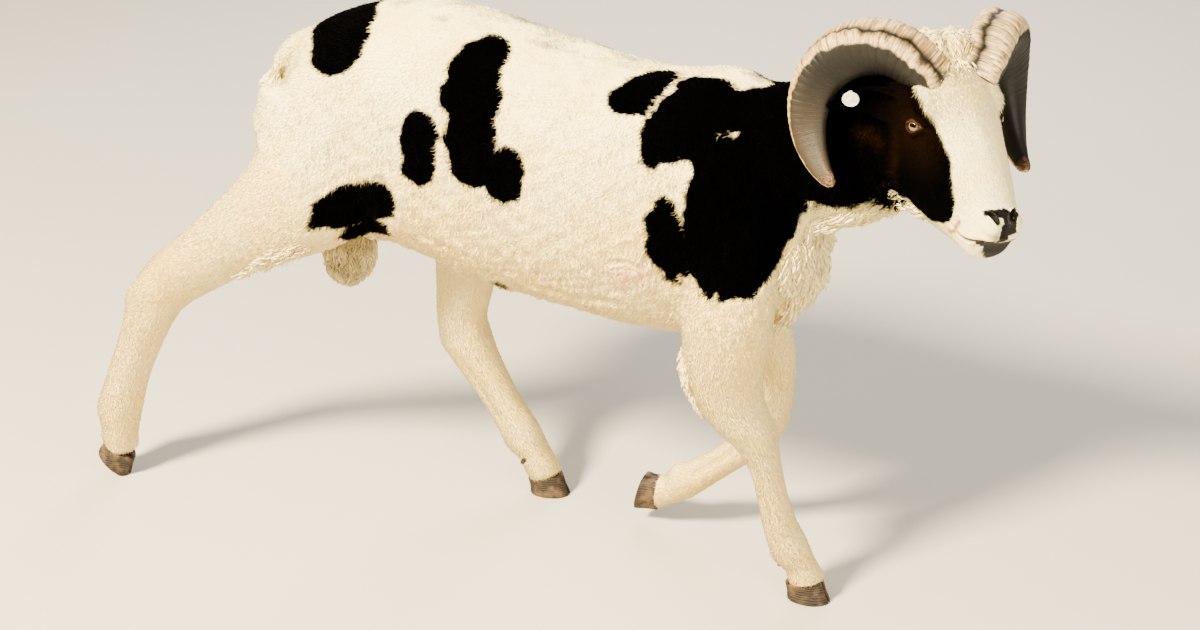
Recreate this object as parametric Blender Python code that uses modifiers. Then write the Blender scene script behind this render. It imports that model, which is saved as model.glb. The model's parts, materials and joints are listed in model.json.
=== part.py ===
# Jacob sheep ram, two-horned, shorn, life size, in a walking stride.
# Metres, X forward, Y to the animal's left, Z up, floor at z = 0.
import math
import random

import bmesh
import bpy
import numpy as np
from mathutils import Matrix, Vector
from mathutils.bvhtree import BVHTree

for leftover in list(bpy.data.objects):
    bpy.data.objects.remove(leftover, do_unlink=True)

nodeGap = 0.0003
bodyVoxel = 0.006
headVoxel = 0.0026

# Trunk sections: x, top, belly, half width, power of the superellipse
trunkSections = [
    (-0.392, 0.628, 0.540, 0.036, 2.0),
    (-0.375, 0.664, 0.480, 0.074, 2.1),
    (-0.332, 0.697, 0.430, 0.108, 2.2),
    (-0.262, 0.722, 0.410, 0.130, 2.3),
    (-0.180, 0.731, 0.392, 0.137, 2.3),
    (-0.090, 0.720, 0.366, 0.142, 2.3),
    (0.000, 0.700, 0.356, 0.146, 2.3),
    (0.090, 0.682, 0.345, 0.144, 2.3),
    (0.160, 0.681, 0.337, 0.139, 2.2),
    (0.225, 0.691, 0.338, 0.128, 2.1),
    (0.272, 0.674, 0.352, 0.114, 2.0),
    (0.316, 0.618, 0.382, 0.092, 2.0),
    (0.345, 0.550, 0.425, 0.054, 2.0),
]

# Limb and neck stations: x, y, z, half depth in the walking plane, half width across it
neckStations = [
    (0.190, 0.000, 0.545, 0.130, 0.104),
    (0.258, -0.002, 0.570, 0.108, 0.092),
    (0.315, -0.006, 0.592, 0.094, 0.079),
    (0.362, -0.010, 0.601, 0.086, 0.068),
    (0.412, -0.016, 0.619, 0.088, 0.062),
    (0.455, -0.026, 0.651, 0.090, 0.058),
    (0.480, -0.036, 0.678, 0.072, 0.050),
]
foreRightStations = [
    (0.268, -0.064, 0.550, 0.052, 0.038),
    (0.262, -0.088, 0.450, 0.064, 0.046),
    (0.260, -0.099, 0.372, 0.058, 0.044),
    (0.259, -0.098, 0.322, 0.052, 0.040),
    (0.272, -0.094, 0.280, 0.043, 0.034),
    (0.296, -0.088, 0.241, 0.031, 0.029),
    (0.311, -0.082, 0.200, 0.0230, 0.0215),
    (0.321, -0.075, 0.150, 0.0215, 0.0200),
    (0.331, -0.068, 0.106, 0.0245, 0.0225),
    (0.343, -0.062, 0.074, 0.0265, 0.0240),
    (0.357, -0.056, 0.045, 0.0225, 0.0225),
    (0.364, -0.054, 0.030, 0.0250, 0.0245),
    (0.368, -0.053, 0.018, 0.0250, 0.0245),
]
foreLeftStations = [
    (0.266, 0.064, 0.550, 0.052, 0.038),
    (0.251, 0.086, 0.440, 0.061, 0.046),
    (0.242, 0.090, 0.362, 0.053, 0.043),
    (0.243, 0.085, 0.318, 0.045, 0.039),
    (0.262, 0.076, 0.270, 0.038, 0.031),
    (0.271, 0.068, 0.224, 0.029, 0.028),
    (0.264, 0.063, 0.184, 0.030, 0.028),
    (0.236, 0.058, 0.143, 0.0235, 0.0220),
    (0.205, 0.056, 0.114, 0.0220, 0.0205),
    (0.174, 0.055, 0.090, 0.0240, 0.0225),
    (0.152, 0.055, 0.073, 0.0255, 0.0240),
    (0.130, 0.056, 0.058, 0.0225, 0.0225),
    (0.117, 0.056, 0.051, 0.0235, 0.0235),
    (0.106, 0.056, 0.045, 0.0235, 0.0235),
]
hindRightStations = [
    (-0.290, -0.066, 0.590, 0.120, 0.060),
    (-0.312, -0.086, 0.510, 0.108, 0.064),
    (-0.360, -0.096, 0.458, 0.078, 0.056),
    (-0.427, -0.100, 0.411, 0.056, 0.044),
    (-0.491, -0.100, 0.364, 0.047, 0.037),
    (-0.550, -0.099, 0.320, 0.042, 0.032),
    (-0.582, -0.098, 0.280, 0.038, 0.031),
    (-0.604, -0.098, 0.232, 0.0330, 0.0290),
    (-0.630, -0.100, 0.172, 0.0310, 0.0265),
    (-0.652, -0.101, 0.108, 0.0330, 0.0280),
    (-0.658, -0.101, 0.070, 0.0290, 0.0265),
    (-0.657, -0.101, 0.048, 0.0260, 0.0250),
    (-0.655, -0.101, 0.036, 0.0260, 0.0250),
]
hindLeftStations = [
    (-0.300, 0.066, 0.585, 0.120, 0.060),
    (-0.255, 0.088, 0.510, 0.105, 0.062),
    (-0.205, 0.100, 0.430, 0.078, 0.054),
    (-0.190, 0.100, 0.362, 0.053, 0.044),
    (-0.195, 0.097, 0.300, 0.043, 0.036),
    (-0.200, 0.094, 0.245, 0.037, 0.031),
    (-0.186, 0.092, 0.205, 0.036, 0.031),
    (-0.160, 0.090, 0.165, 0.0300, 0.0270),
    (-0.132, 0.088, 0.122, 0.0270, 0.0245),
    (-0.105, 0.086, 0.084, 0.0290, 0.0265),
    (-0.086, 0.085, 0.056, 0.0250, 0.0245),
    (-0.073, 0.084, 0.036, 0.0255, 0.0250),
    (-0.066, 0.084, 0.022, 0.0255, 0.0250),
]
tailStations = [
    (-0.330, 0.000, 0.668, 0.018, 0.022),
    (-0.368, 0.000, 0.660, 0.018, 0.024),
    (-0.398, -0.001, 0.640, 0.0175, 0.0235),
    (-0.414, -0.003, 0.610, 0.0160, 0.0220),
    (-0.421, -0.005, 0.576, 0.0145, 0.0190),
    (-0.424, -0.006, 0.548, 0.0095, 0.0120),
]
scrotumStations = [
    (-0.316, 0.000, 0.460, 0.034, 0.028),
    (-0.318, 0.000, 0.415, 0.030, 0.024),
    (-0.322, 0.000, 0.375, 0.037, 0.031),
    (-0.326, 0.000, 0.340, 0.032, 0.029),
    (-0.329, 0.000, 0.318, 0.017, 0.016),
]

# Rounded masses under the coat: centre, radii, turn about Y in degrees
bodyMasses = [
    ((0.228, 0.060, 0.530), (0.086, 0.052, 0.118), 20),
    ((0.266, 0.056, 0.458), (0.058, 0.042, 0.066), 30),
    ((-0.275, 0.070, 0.560), (0.108, 0.062, 0.116), -12),
    ((-0.345, 0.062, 0.520), (0.062, 0.046, 0.085), 10),
    ((0.235, 0.000, 0.405), (0.086, 0.066, 0.060), 14),
]

# Cuts that part the body: a point on the plane and the outward direction
neckCut = ((0.318, 0.000, 0.600), (0.775, 0.000, 0.632))
headCut = ((0.424, -0.014, 0.656), (0.780, -0.220, 0.586))
foreRightCut = ((0.262, -0.098, 0.325), (0.0, 0.0, -1.0))
foreLeftCut = ((0.252, 0.088, 0.325), (0.0, 0.0, -1.0))
hindRightCut = ((-0.427, -0.100, 0.411), (-0.793, 0.0, -0.609))
hindLeftCut = ((-0.195, 0.098, 0.335), (0.0, 0.0, -1.0))
scrotumCut = ((-0.318, 0.000, 0.404), (0.0, 0.0, -1.0))
stubReach = 0.10

# Head: poll, turn to the right, slope of the face, tilt, all in degrees
headPoll = Vector((0.502, -0.0675, 0.777))
headTurn = 48.0
headSlope = 41.0
headTilt = -2.0

# Head sections down the face: x, face line, jaw line, half width, widening to the top
headSections = [
    (-0.040, -0.062, -0.100, 0.032, 0.00),
    (-0.022, -0.036, -0.128, 0.046, 0.00),
    (0.004, -0.012, -0.152, 0.054, 0.05),
    (0.036, 0.002, -0.166, 0.0575, 0.12),
    (0.070, 0.007, -0.171, 0.0575, 0.18),
    (0.105, 0.006, -0.169, 0.0520, 0.22),
    (0.140, 0.003, -0.156, 0.0455, 0.22),
    (0.172, -0.001, -0.134, 0.0415, 0.16),
    (0.203, -0.005, -0.110, 0.0360, 0.06),
    (0.226, -0.009, -0.094, 0.0320, 0.00),
    (0.241, -0.015, -0.085, 0.0270, 0.00),
    (0.248, -0.026, -0.073, 0.0190, 0.00),
]
# Masses of the head, mirrored: centre, radii
headMasses = [
    ((0.074, 0.040, -0.015), (0.028, 0.016, 0.013)),
    ((0.088, 0.032, -0.100), (0.052, 0.020, 0.050)),
    ((0.230, 0.0135, -0.019), (0.017, 0.0125, 0.0115)),
    ((0.231, 0.0120, -0.032), (0.018, 0.0165, 0.0110)),
    ((0.230, 0.0080, -0.060), (0.0185, 0.0160, 0.0150)),
    ((0.022, 0.014, -0.020), (0.034, 0.030, 0.024)),
]
eyePlace = Vector((0.090, 0.0470, -0.036))
eyeGaze = Vector((0.22, 0.90, 0.30)).normalized()
eyeRadius = 0.0128
lidThickness = 0.0032
lidOpening = (0.0122, 0.0068)
lidTurn = 50.0
mouthLine = [
    (0.275, -0.027), (0.248, -0.033), (0.238, -0.042),
    (0.225, -0.056), (0.214, -0.068), (0.207, -0.076),
]
mouthGap = 0.0012
nostrilPlace = Vector((0.2300, 0.0150, -0.0085))
nostrilRadii = (0.0088, 0.0040, 0.0080)

# Horns in the head's frame, as on the animal's left
hornBase = Vector((0.022, 0.045, -0.012))
hornRadiusStart = 0.077
hornRadiusEnd = 0.071
hornAxisTurn = 35.2
hornAxisTilt = 9.2
hornPhase = -91.8
hornSweeps = {1: -209.0, -1: -202.1}
hornDrifts = {1: 0.096, -1: 0.088}
hornDriftPower = 1.6
hornShift = 0.007
hornRoot = -0.05
hornWidths = [(-0.05, 0.0300), (0.0, 0.0310), (0.2, 0.0330), (0.36, 0.0315), (0.5, 0.0280),
              (0.65, 0.0240), (0.8, 0.0190), (0.9, 0.0145), (0.97, 0.0112), (1.0, 0.0105)]
hornDepthShare = 0.86
hornRings = 38
hornSides = 10
hornRidge = 0.030

# Ears in the head's frame, as on the animal's left
earRoot = Vector((0.046, 0.050, -0.055))
earLies = {
    1: Vector((-0.16, 0.76, -0.50)).normalized(),
    -1: Vector((-0.30, -0.80, -0.38)).normalized(),
}
earMouth = Vector((0.62, 0.30, 0.24))
earLength = 0.078
earDroop = 0.010
earRoll = (125.0, 78.0)
earCup = 0.4
earWidth = 0.044
earThickness = 0.0052
tagPlace = 0.68
tagShift = 0.004
tagRadius = 0.0100
tagThickness = 0.0026
tagStem = 0.0026
tagBack = 0.0055

# Claws: length at the sole, width of one claw, height in front, height at the heel
clawLength = 0.056
clawWidth = 0.0215
clawFront = 0.034
clawHeel = 0.022
clawRise = (clawFront - clawHeel) / clawLength
clawBack = 0.42
clawCleft = 0.0012
clawToeIn = 0.10

# Locks of longer wool: width and thickness at the root, depth of the root, spread of the sizes
lockWidth = 0.030
lockThickness = 0.0115
lockSink = 0.009
lockTip = 0.0016
lockTaper = 2.4
lockLay = 1.25
lockSpread = 0.22
lockWidthSpread = (0.85, 1.15)
lockCurl = 0.25
lockSolver = "MANIFOLD"
# Fringe under the throat: height, half span, count, length, lift off the chest
chestFringe = [
    (0.506, 0.034, 3, 0.052, 0.006),
    (0.482, 0.058, 4, 0.054, 0.010),
    (0.452, 0.050, 4, 0.052, 0.011),
    (0.424, 0.062, 4, 0.048, 0.009),
    (0.396, 0.040, 3, 0.042, 0.006),
]
# Wool behind the forearm: height, shift across from the leg's middle, length
forearmTufts = [
    (0.314, -0.012, 0.042),
    (0.302, 0.012, 0.044),
    (0.282, -0.006, 0.038),
    (0.264, 0.006, 0.028),
]
forearmPlaces = {"foreleg_right": -0.097, "foreleg_left": 0.082}
forearmLift = 0.005
forearmLie = (0.05, 0.0, -1.0)
# Tufts under the jaw, in the head's frame: x, y, length
jawTufts = [(0.123, -0.040, 0.030), (0.134, -0.027, 0.030), (0.142, -0.008, 0.028), (0.132, 0.022, 0.028)]
jawLie = (0.35, -0.10, -1.0)
jawLift = 0.003
jawCling = 0.25
# Tufts in front of the thigh, under the flank: x, y, length
bellyTufts = [(-0.236, -0.030, 0.036), (-0.252, -0.012, 0.032), (-0.240, 0.020, 0.032)]
bellyLie = (-0.9, 0.0, -0.6)
bellyLift = 0.006
bellyCling = 0.3
# Wool at the end of the tail: height, shift across, length
tailTufts = [(0.584, -0.010, 0.034), (0.578, 0.008, 0.036), (0.602, 0.000, 0.036)]

partsCollection = bpy.data.collections.new("jacob_sheep")
toolCollection = bpy.data.collections.new("tools")
bpy.context.scene.collection.children.link(partsCollection)
bpy.context.scene.collection.children.link(toolCollection)


def addMaterial(name, colour, roughness):
    material = bpy.data.materials.new(name)
    material.use_nodes = True
    shader = material.node_tree.nodes["Principled BSDF"]
    shader.inputs["Base Color"].default_value = (*colour, 1.0)
    shader.inputs["Roughness"].default_value = roughness
    shader.inputs["Metallic"].default_value = 0.0
    return material


woolWhite = addMaterial("wool_white", (0.78, 0.72, 0.62), 0.9)
woolBlack = addMaterial("wool_black", (0.02, 0.016, 0.014), 0.9)
faceHair = addMaterial("face_hair", (0.72, 0.66, 0.55), 0.8)
legHair = addMaterial("leg_hair", (0.74, 0.64, 0.50), 0.85)
hornKeratin = addMaterial("horn_keratin", (0.33, 0.26, 0.19), 0.55)
clawKeratin = addMaterial("claw_keratin", (0.10, 0.075, 0.055), 0.5)
eyeMaterial = addMaterial("eye_gloss", (0.16, 0.08, 0.02), 0.1)
tagPlastic = addMaterial("tag_plastic", (0.85, 0.85, 0.83), 0.4)


def meshObject(name, vertices, faces):
    mesh = bpy.data.meshes.new(name)
    mesh.from_pydata([tuple(v) for v in vertices], [], faces)
    mesh.update()
    made = bpy.data.objects.new(name, mesh)
    toolCollection.objects.link(made)
    return made


def dropObject(unwanted):
    mesh = unwanted.data
    bpy.data.objects.remove(unwanted, do_unlink=True)
    if mesh is not None and mesh.users == 0:
        bpy.data.meshes.remove(mesh)


def bakeModifiers(target):
    """Applies the modifiers, drops them and keeps the plain mesh."""
    graph = bpy.context.evaluated_depsgraph_get()
    baked = bpy.data.meshes.new_from_object(target.evaluated_get(graph))
    old = target.data
    target.modifiers.clear()
    target.data = baked
    if old.users == 0:
        bpy.data.meshes.remove(old)
    return target


def smoothSeries(rows, perSpan):
    """Catmull-Rom run through rows of numbers."""
    table = np.array(rows, dtype=float)
    padded = np.vstack([2 * table[0] - table[1], table, 2 * table[-1] - table[-2]])
    made = []
    for span in range(len(table) - 1):
        before, start, end, after = padded[span:span + 4]
        for step in range(perSpan):
            t = step / perSpan
            made.append(0.5 * (2 * start + (end - before) * t
                               + (2 * before - 5 * start + 4 * end - after) * t ** 2
                               + (3 * start - before - 3 * end + after) * t ** 3))
    made.append(table[-1])
    return np.array(made)


def loftRings(name, rings):
    """Closed body from rings that have the same count of points."""
    sides = len(rings[0])
    vertices = [point for ring in rings for point in ring]
    faces = []
    for row in range(len(rings) - 1):
        for side in range(sides):
            following = (side + 1) % sides
            faces.append((row * sides + side, row * sides + following,
                          (row + 1) * sides + following, (row + 1) * sides + side))
    faces.append(tuple(reversed(range(sides))))
    last = (len(rings) - 1) * sides
    faces.append(tuple(last + side for side in range(sides)))
    made = meshObject(name, vertices, faces)
    turnOutward(made)
    return made


def turnOutward(target):
    shape = bmesh.new()
    shape.from_mesh(target.data)
    bmesh.ops.recalc_face_normals(shape, faces=shape.faces)
    if shape.calc_volume(signed=True) < 0:
        bmesh.ops.reverse_faces(shape, faces=shape.faces)
    shape.to_mesh(target.data)
    shape.free()


def roundedPower(value, power):
    return math.copysign(abs(value) ** (2.0 / power), value)


def trunkLoft(sides, perSpan):
    rings = []
    for x, top, belly, half, power in smoothSeries(trunkSections, perSpan):
        middle = 0.5 * (top + belly)
        depth = 0.5 * (top - belly)
        ring = []
        for side in range(sides):
            turn = 2 * math.pi * side / sides
            across = roundedPower(math.cos(turn), power)
            upward = roundedPower(math.sin(turn), power)
            # the barrel is a little wider below its middle
            swell = 1.0 - 0.07 * upward
            ring.append(Vector((x, half * across * swell, middle + depth * upward)))
        rings.append(ring)
    return loftRings("trunk", rings)


def limbLoft(name, stations, sides, perSpan):
    """Sweeps an ellipse whose width stays across the walking plane."""
    rows = smoothSeries(stations, perSpan)
    centres = rows[:, :3]
    tangents = np.gradient(centres, axis=0)
    rings = []
    for row, tangent in zip(rows, tangents):
        along = Vector(tangent).normalized()
        across = Vector((0, 1, 0))
        across = (across - along * across.dot(along)).normalized()
        forward = across.cross(along)
        centre = Vector(row[:3])
        ring = []
        for side in range(sides):
            turn = 2 * math.pi * side / sides
            ring.append(centre + forward * (row[3] * math.cos(turn)) + across * (row[4] * math.sin(turn)))
        rings.append(ring)
    return loftRings(name, rings)


def ballObject(name, centre, radii, turn=None, segments=24, rings=14):
    shape = bmesh.new()
    bmesh.ops.create_uvsphere(shape, u_segments=segments, v_segments=rings, radius=1.0)
    mesh = bpy.data.meshes.new(name)
    shape.to_mesh(mesh)
    shape.free()
    made = bpy.data.objects.new(name, mesh)
    toolCollection.objects.link(made)
    rotation = turn if turn is not None else Matrix.Identity(4)
    made.data.transform(Matrix.Translation(centre) @ rotation @ Matrix.Diagonal((*radii, 1.0)))
    return made


def mirrored(vector, side):
    return Vector((vector[0], vector[1] * side, vector[2]))


def joinObjects(name, pieces):
    shape = bmesh.new()
    for piece in pieces:
        shape.from_mesh(piece.data)
    mesh = bpy.data.meshes.new(name)
    shape.to_mesh(mesh)
    shape.free()
    for piece in pieces:
        dropObject(piece)
    made = bpy.data.objects.new(name, mesh)
    toolCollection.objects.link(made)
    return made


def fusePieces(name, pieces, voxel, smoothing, triangles):
    """Merges overlapping bodies into one smooth skin with a set count of triangles."""
    fused = joinObjects(name, pieces)
    remesh = fused.modifiers.new("fuse", "REMESH")
    remesh.mode = "VOXEL"
    remesh.voxel_size = voxel
    smooth = fused.modifiers.new("smooth", "SMOOTH")
    smooth.factor = 0.5
    smooth.iterations = smoothing
    bakeModifiers(fused)
    fused.data.update()
    count = sum(len(face.vertices) - 2 for face in fused.data.polygons)
    thin = fused.modifiers.new("thin", "DECIMATE")
    thin.ratio = min(1.0, triangles / count)
    thin.use_collapse_triangulate = True
    return bakeModifiers(fused)


def cutByPlane(target, point, outward, keepOutside, offset):
    """Parts a closed body at a plane and closes it with a flat face."""
    normal = Vector(outward).normalized()
    place = Vector(point) + normal * offset
    shape = bmesh.new()
    shape.from_mesh(target.data)
    everything = shape.verts[:] + shape.edges[:] + shape.faces[:]
    bmesh.ops.bisect_plane(shape, geom=everything, plane_co=place, plane_no=normal, dist=1e-6,
                           clear_outer=not keepOutside, clear_inner=keepOutside)
    rim = [edge for edge in shape.edges if edge.is_boundary]
    bmesh.ops.edgenet_fill(shape, edges=rim)
    bmesh.ops.triangulate(shape, faces=[face for face in shape.faces if len(face.verts) > 4])
    shape.to_mesh(target.data)
    shape.free()
    keepLargest(target)
    turnOutward(target)
    return target


def keepLargest(target):
    """Leaves only the largest closed surface of a body."""
    shape = bmesh.new()
    shape.from_mesh(target.data)
    bmesh.ops.remove_doubles(shape, verts=shape.verts, dist=0.00001)
    pending = set(shape.verts)
    islands = []
    while pending:
        stack = [pending.pop()]
        island = set(stack)
        while stack:
            for edge in stack.pop().link_edges:
                for vertex in edge.verts:
                    if vertex not in island:
                        island.add(vertex)
                        pending.discard(vertex)
                        stack.append(vertex)
        islands.append(island)
    islands.sort(key=len, reverse=True)
    for island in islands[1:]:
        bmesh.ops.delete(shape, geom=list(island), context="VERTS")
    bmesh.ops.triangulate(shape, faces=shape.faces)
    shape.to_mesh(target.data)
    shape.free()
    return target


def boxBeyond(name, point, outward, halfForward, halfAcross, reach):
    """A box whose one face lies on the cut and which reaches outward from it."""
    normal = Vector(outward).normalized()
    across = Vector((0, 1, 0))
    across = (across - normal * across.dot(normal)).normalized()
    forward = across.cross(normal)
    centre = Vector(point) + normal * (0.5 * reach)
    shape = bmesh.new()
    bmesh.ops.create_cube(shape, size=2.0)
    mesh = bpy.data.meshes.new(name)
    shape.to_mesh(mesh)
    shape.free()
    made = bpy.data.objects.new(name, mesh)
    toolCollection.objects.link(made)
    axes = Matrix((forward * halfForward, across * halfAcross, normal * (0.5 * reach))).transposed()
    made.data.transform(Matrix.Translation(centre) @ axes.to_4x4())
    turnOutward(made)
    return made


def booleanStep(target, other, operation, solver="EXACT"):
    step = target.modifiers.new("step", "BOOLEAN")
    step.operation = operation
    step.solver = solver
    step.object = other
    bakeModifiers(target)
    dropObject(other)
    return target


def subtractAll(target, cutters, solver="EXACT"):
    for cutter in cutters:
        booleanStep(target, cutter, "DIFFERENCE", solver)
    return keepLargest(target)


def inflatedCopy(source, distance):
    made = meshObject(source.name + "_grown", [], [])
    made.data = source.data.copy()
    shape = bmesh.new()
    shape.from_mesh(made.data)
    bmesh.ops.triangulate(shape, faces=shape.faces)
    shape.normal_update()
    moves = [(vertex, vertex.normal.copy()) for vertex in shape.verts]
    for vertex, normal in moves:
        vertex.co += normal * distance
    shape.to_mesh(made.data)
    shape.free()
    return made


def handIn(made, name, material):
    """Names a finished body and moves it among the parts."""
    made.name = name
    made.data.name = name
    toolCollection.objects.unlink(made)
    partsCollection.objects.link(made)
    made.data.materials.clear()
    made.data.materials.append(material)
    for face in made.data.polygons:
        face.material_index = 0
        face.use_smooth = False
    return made


# Head frame: x down the face, y to the animal's left, z out of the face
def makeHeadMatrix():
    turn = math.radians(headTurn)
    slope = math.radians(headSlope)
    tilt = math.radians(headTilt)
    face = Vector((math.cos(turn) * math.cos(slope), -math.sin(turn) * math.cos(slope), -math.sin(slope)))
    left = Vector((math.sin(turn), math.cos(turn), 0.0))
    outward = face.cross(left)
    tiltedLeft = left * math.cos(tilt) + outward * math.sin(tilt)
    tiltedOut = face.cross(tiltedLeft)
    matrix = Matrix((face, tiltedLeft, tiltedOut)).transposed().to_4x4()
    matrix.translation = headPoll
    return matrix


headMatrix = makeHeadMatrix()


def toWorld(made):
    made.data.transform(headMatrix)
    return made


def skullLoft(sides, perSpan):
    rings = []
    for x, top, jaw, half, widening in smoothSeries(headSections, perSpan):
        middle = 0.5 * (top + jaw)
        depth = 0.5 * (top - jaw)
        ring = []
        for side in range(sides):
            turn = 2 * math.pi * side / sides
            across = roundedPower(math.cos(turn), 2.3)
            upward = roundedPower(math.sin(turn), 2.3)
            ring.append(Vector((x, half * across * (1.0 + widening * upward), middle + depth * upward)))
        rings.append(ring)
    return toWorld(loftRings("skull", rings))


def lockBody(root, away, lie, length, width, lift, curl):
    """A flat, tapered lock that leaves the skin and bends over to its lie."""
    side = lie.cross(away).normalized()
    rings = []
    for share in (0.0, 0.35, 0.72, 1.0):
        rise = -lockSink + (lockSink + lift) * (1.0 - (1.0 - share) ** 2)
        middle = root + away * rise + lie * (length * share ** lockLay) + side * (curl * share ** 2)
        taper = 1.0 - share ** lockTaper
        halfWidth = max(0.5 * width * taper, lockTip)
        halfThick = max(0.5 * lockThickness * taper, 0.5 * lockTip)
        normal = (away * (1.0 - 0.5 * share) - lie * 0.6 * (1.0 - share)).normalized()
        rings.append([middle + side * halfWidth, middle + normal * halfThick,
                      middle - side * halfWidth, middle - normal * halfThick])
    return loftRings("lock", rings)


def surfaceTree(target):
    """Search tree of a body's faces, for setting pieces on its surface."""
    mesh = target.data
    return BVHTree.FromPolygons([vertex.co for vertex in mesh.vertices],
                                [tuple(face.vertices) for face in mesh.polygons])


def setLock(locks, draw, tree, start, direction, lie, length, lift, cling=0.8):
    """Finds the skin along a ray and roots one lock there, varied a little."""
    place, normal, _, _ = tree.ray_cast(Vector(start), Vector(direction).normalized())
    if place is None:
        return
    if normal.dot(Vector(direction)) > 0:
        normal = -normal
    vary = 1.0 + lockSpread * (2.0 * draw.random() - 1.0)
    hang = (Vector(lie) - normal * Vector(lie).dot(normal) * cling).normalized()
    curl = length * lockCurl * (2.0 * draw.random() - 1.0)
    width = lockWidth * draw.uniform(*lockWidthSpread)
    locks.append(lockBody(place, normal, hang, length * vary, width, lift, curl))


def rootLocks(target, locks):
    """Joins locks to the body that they grow from and keeps one closed surface."""
    bunch = bpy.data.collections.new("locks")
    bpy.context.scene.collection.children.link(bunch)
    for lock in locks:
        toolCollection.objects.unlink(lock)
        bunch.objects.link(lock)
    union = target.modifiers.new("locks", "BOOLEAN")
    union.operation = "UNION"
    union.operand_type = "COLLECTION"
    union.collection = bunch
    union.solver = lockSolver
    bakeModifiers(target)
    for lock in locks:
        dropObject(lock)
    bpy.data.collections.remove(bunch)
    return keepLargest(target)


def addTrunkLocks(torso):
    """The fringe down the chest and the tufts under the flank."""
    draw = random.Random(11)
    tree = surfaceTree(torso)
    locks = []
    for height, halfSpan, count, length, lift in chestFringe:
        for number in range(count):
            across = halfSpan * (2.0 * number / (count - 1) - 1.0) + 0.004 * draw.random()
            start = (0.60, across, height + 0.006 * draw.random())
            setLock(locks, draw, tree, start, (-1.0, 0.0, 0.0), (0.10, 0.0, -1.0), length, lift)
    for along, across, length in bellyTufts:
        start = (along, across, 0.20)
        setLock(locks, draw, tree, start, (0.0, 0.0, 1.0), bellyLie, length, bellyLift, bellyCling)
    return rootLocks(torso, locks)


def addHeadLocks(head):
    """The tufts under the jaw."""
    draw = random.Random(23)
    tree = surfaceTree(head)
    turn = headMatrix.to_3x3()
    locks = []
    for along, across, length in jawTufts:
        start = headMatrix @ Vector((along, across, -0.30))
        setLock(locks, draw, tree, start, turn @ Vector((0, 0, 1)), jawLie, length, jawLift, jawCling)
    return rootLocks(head, locks)


def addForearmLocks(upper, name):
    draw = random.Random(len(name))
    tree = surfaceTree(upper)
    locks = []
    for height, shift, length in forearmTufts:
        start = (0.0, forearmPlaces[name] + shift, height)
        setLock(locks, draw, tree, start, (1.0, 0.0, 0.0), forearmLie, length, forearmLift)
    return rootLocks(upper, locks)


def addTailLocks(tail):
    draw = random.Random(5)
    tree = surfaceTree(tail)
    locks = []
    for height, shift, length in tailTufts:
        setLock(locks, draw, tree, (-0.60, shift, height), (1.0, 0.0, 0.0), (0.0, 0.0, -1.0), length, 0.003)
    return rootLocks(tail, locks)


def makeBody():
    pieces = [trunkLoft(36, 3), limbLoft("neck_core", neckStations, 28, 3)]
    cores = {
        "fore_right_core": foreRightStations[:6],
        "fore_left_core": foreLeftStations[:6],
        "hind_right_core": hindRightStations[:6],
        "hind_left_core": hindLeftStations[:6],
        "scrotum_core": scrotumStations[:4],
    }
    for name, stations in cores.items():
        pieces.append(limbLoft(name, stations, 20, 3))
    for centre, radii, turn in bodyMasses:
        rotation = Matrix.Rotation(math.radians(turn), 4, "Y")
        for side in ((1, -1) if centre[1] else (1,)):
            pieces.append(ballObject("mass", mirrored(centre, side), radii, rotation))
    return fusePieces("body", pieces, bodyVoxel, 14, 5200)


def makeTorso(body):
    torso = meshObject("torso_source", [], [])
    torso.data = body.data.copy()
    cutByPlane(torso, *neckCut, False, 0.0)
    cutters = [
        boxBeyond("cut_fore_right", *foreRightCut, 0.095, 0.068, stubReach),
        boxBeyond("cut_fore_left", *foreLeftCut, 0.095, 0.068, stubReach),
        boxBeyond("cut_hind_right", *hindRightCut, 0.085, 0.068, 0.16),
        boxBeyond("cut_hind_left", *hindLeftCut, 0.095, 0.068, stubReach),
        boxBeyond("cut_scrotum", *scrotumCut, 0.060, 0.040, stubReach),
    ]
    return subtractAll(torso, cutters)


def makeNeck(body):
    neck = meshObject("neck_source", [], [])
    neck.data = body.data.copy()
    cutByPlane(neck, *neckCut, True, nodeGap)
    return cutByPlane(neck, *headCut, False, 0.0)


def lidCutter(side):
    """An almond that opens outward from the eye."""
    angle = math.radians(lidTurn)
    lengthwise = Vector((math.cos(angle), 0.0, math.sin(angle)))
    lengthwise = (lengthwise - eyeGaze * lengthwise.dot(eyeGaze)).normalized()
    heightwise = lengthwise.cross(eyeGaze)
    rows = []
    for reach, grow in ((0.0, 0.55), (0.006, 0.85), (0.012, 1.0), (0.030, 1.25)):
        ring = []
        for step in range(16):
            turn = 2 * math.pi * step / 16
            along = lidOpening[0] * grow * math.cos(turn)
            upward = lidOpening[1] * grow * math.sin(turn) * (1.0 - 0.35 * abs(math.cos(turn)))
            ring.append(eyePlace + eyeGaze * reach + lengthwise * along + heightwise * upward)
        rows.append([mirrored(point, side) for point in ring])
    return toWorld(loftRings("lid_cutter", rows))


def mouthCutter():
    """A thin curved leaf across the whole muzzle, from the lips to the corners."""
    line = smoothSeries(mouthLine, 3)
    slopes = np.gradient(line, axis=0)
    rows = []
    for (x, z), (dx, dz) in zip(line, slopes):
        length = math.hypot(dx, dz)
        offX = -dz / length * 0.5 * mouthGap
        offZ = dx / length * 0.5 * mouthGap
        rows.append([Vector((x + offX, -0.06, z + offZ)), Vector((x + offX, 0.06, z + offZ)),
                     Vector((x - offX, 0.06, z - offZ)), Vector((x - offX, -0.06, z - offZ))])
    return toWorld(loftRings("mouth_cutter", rows))


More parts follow.
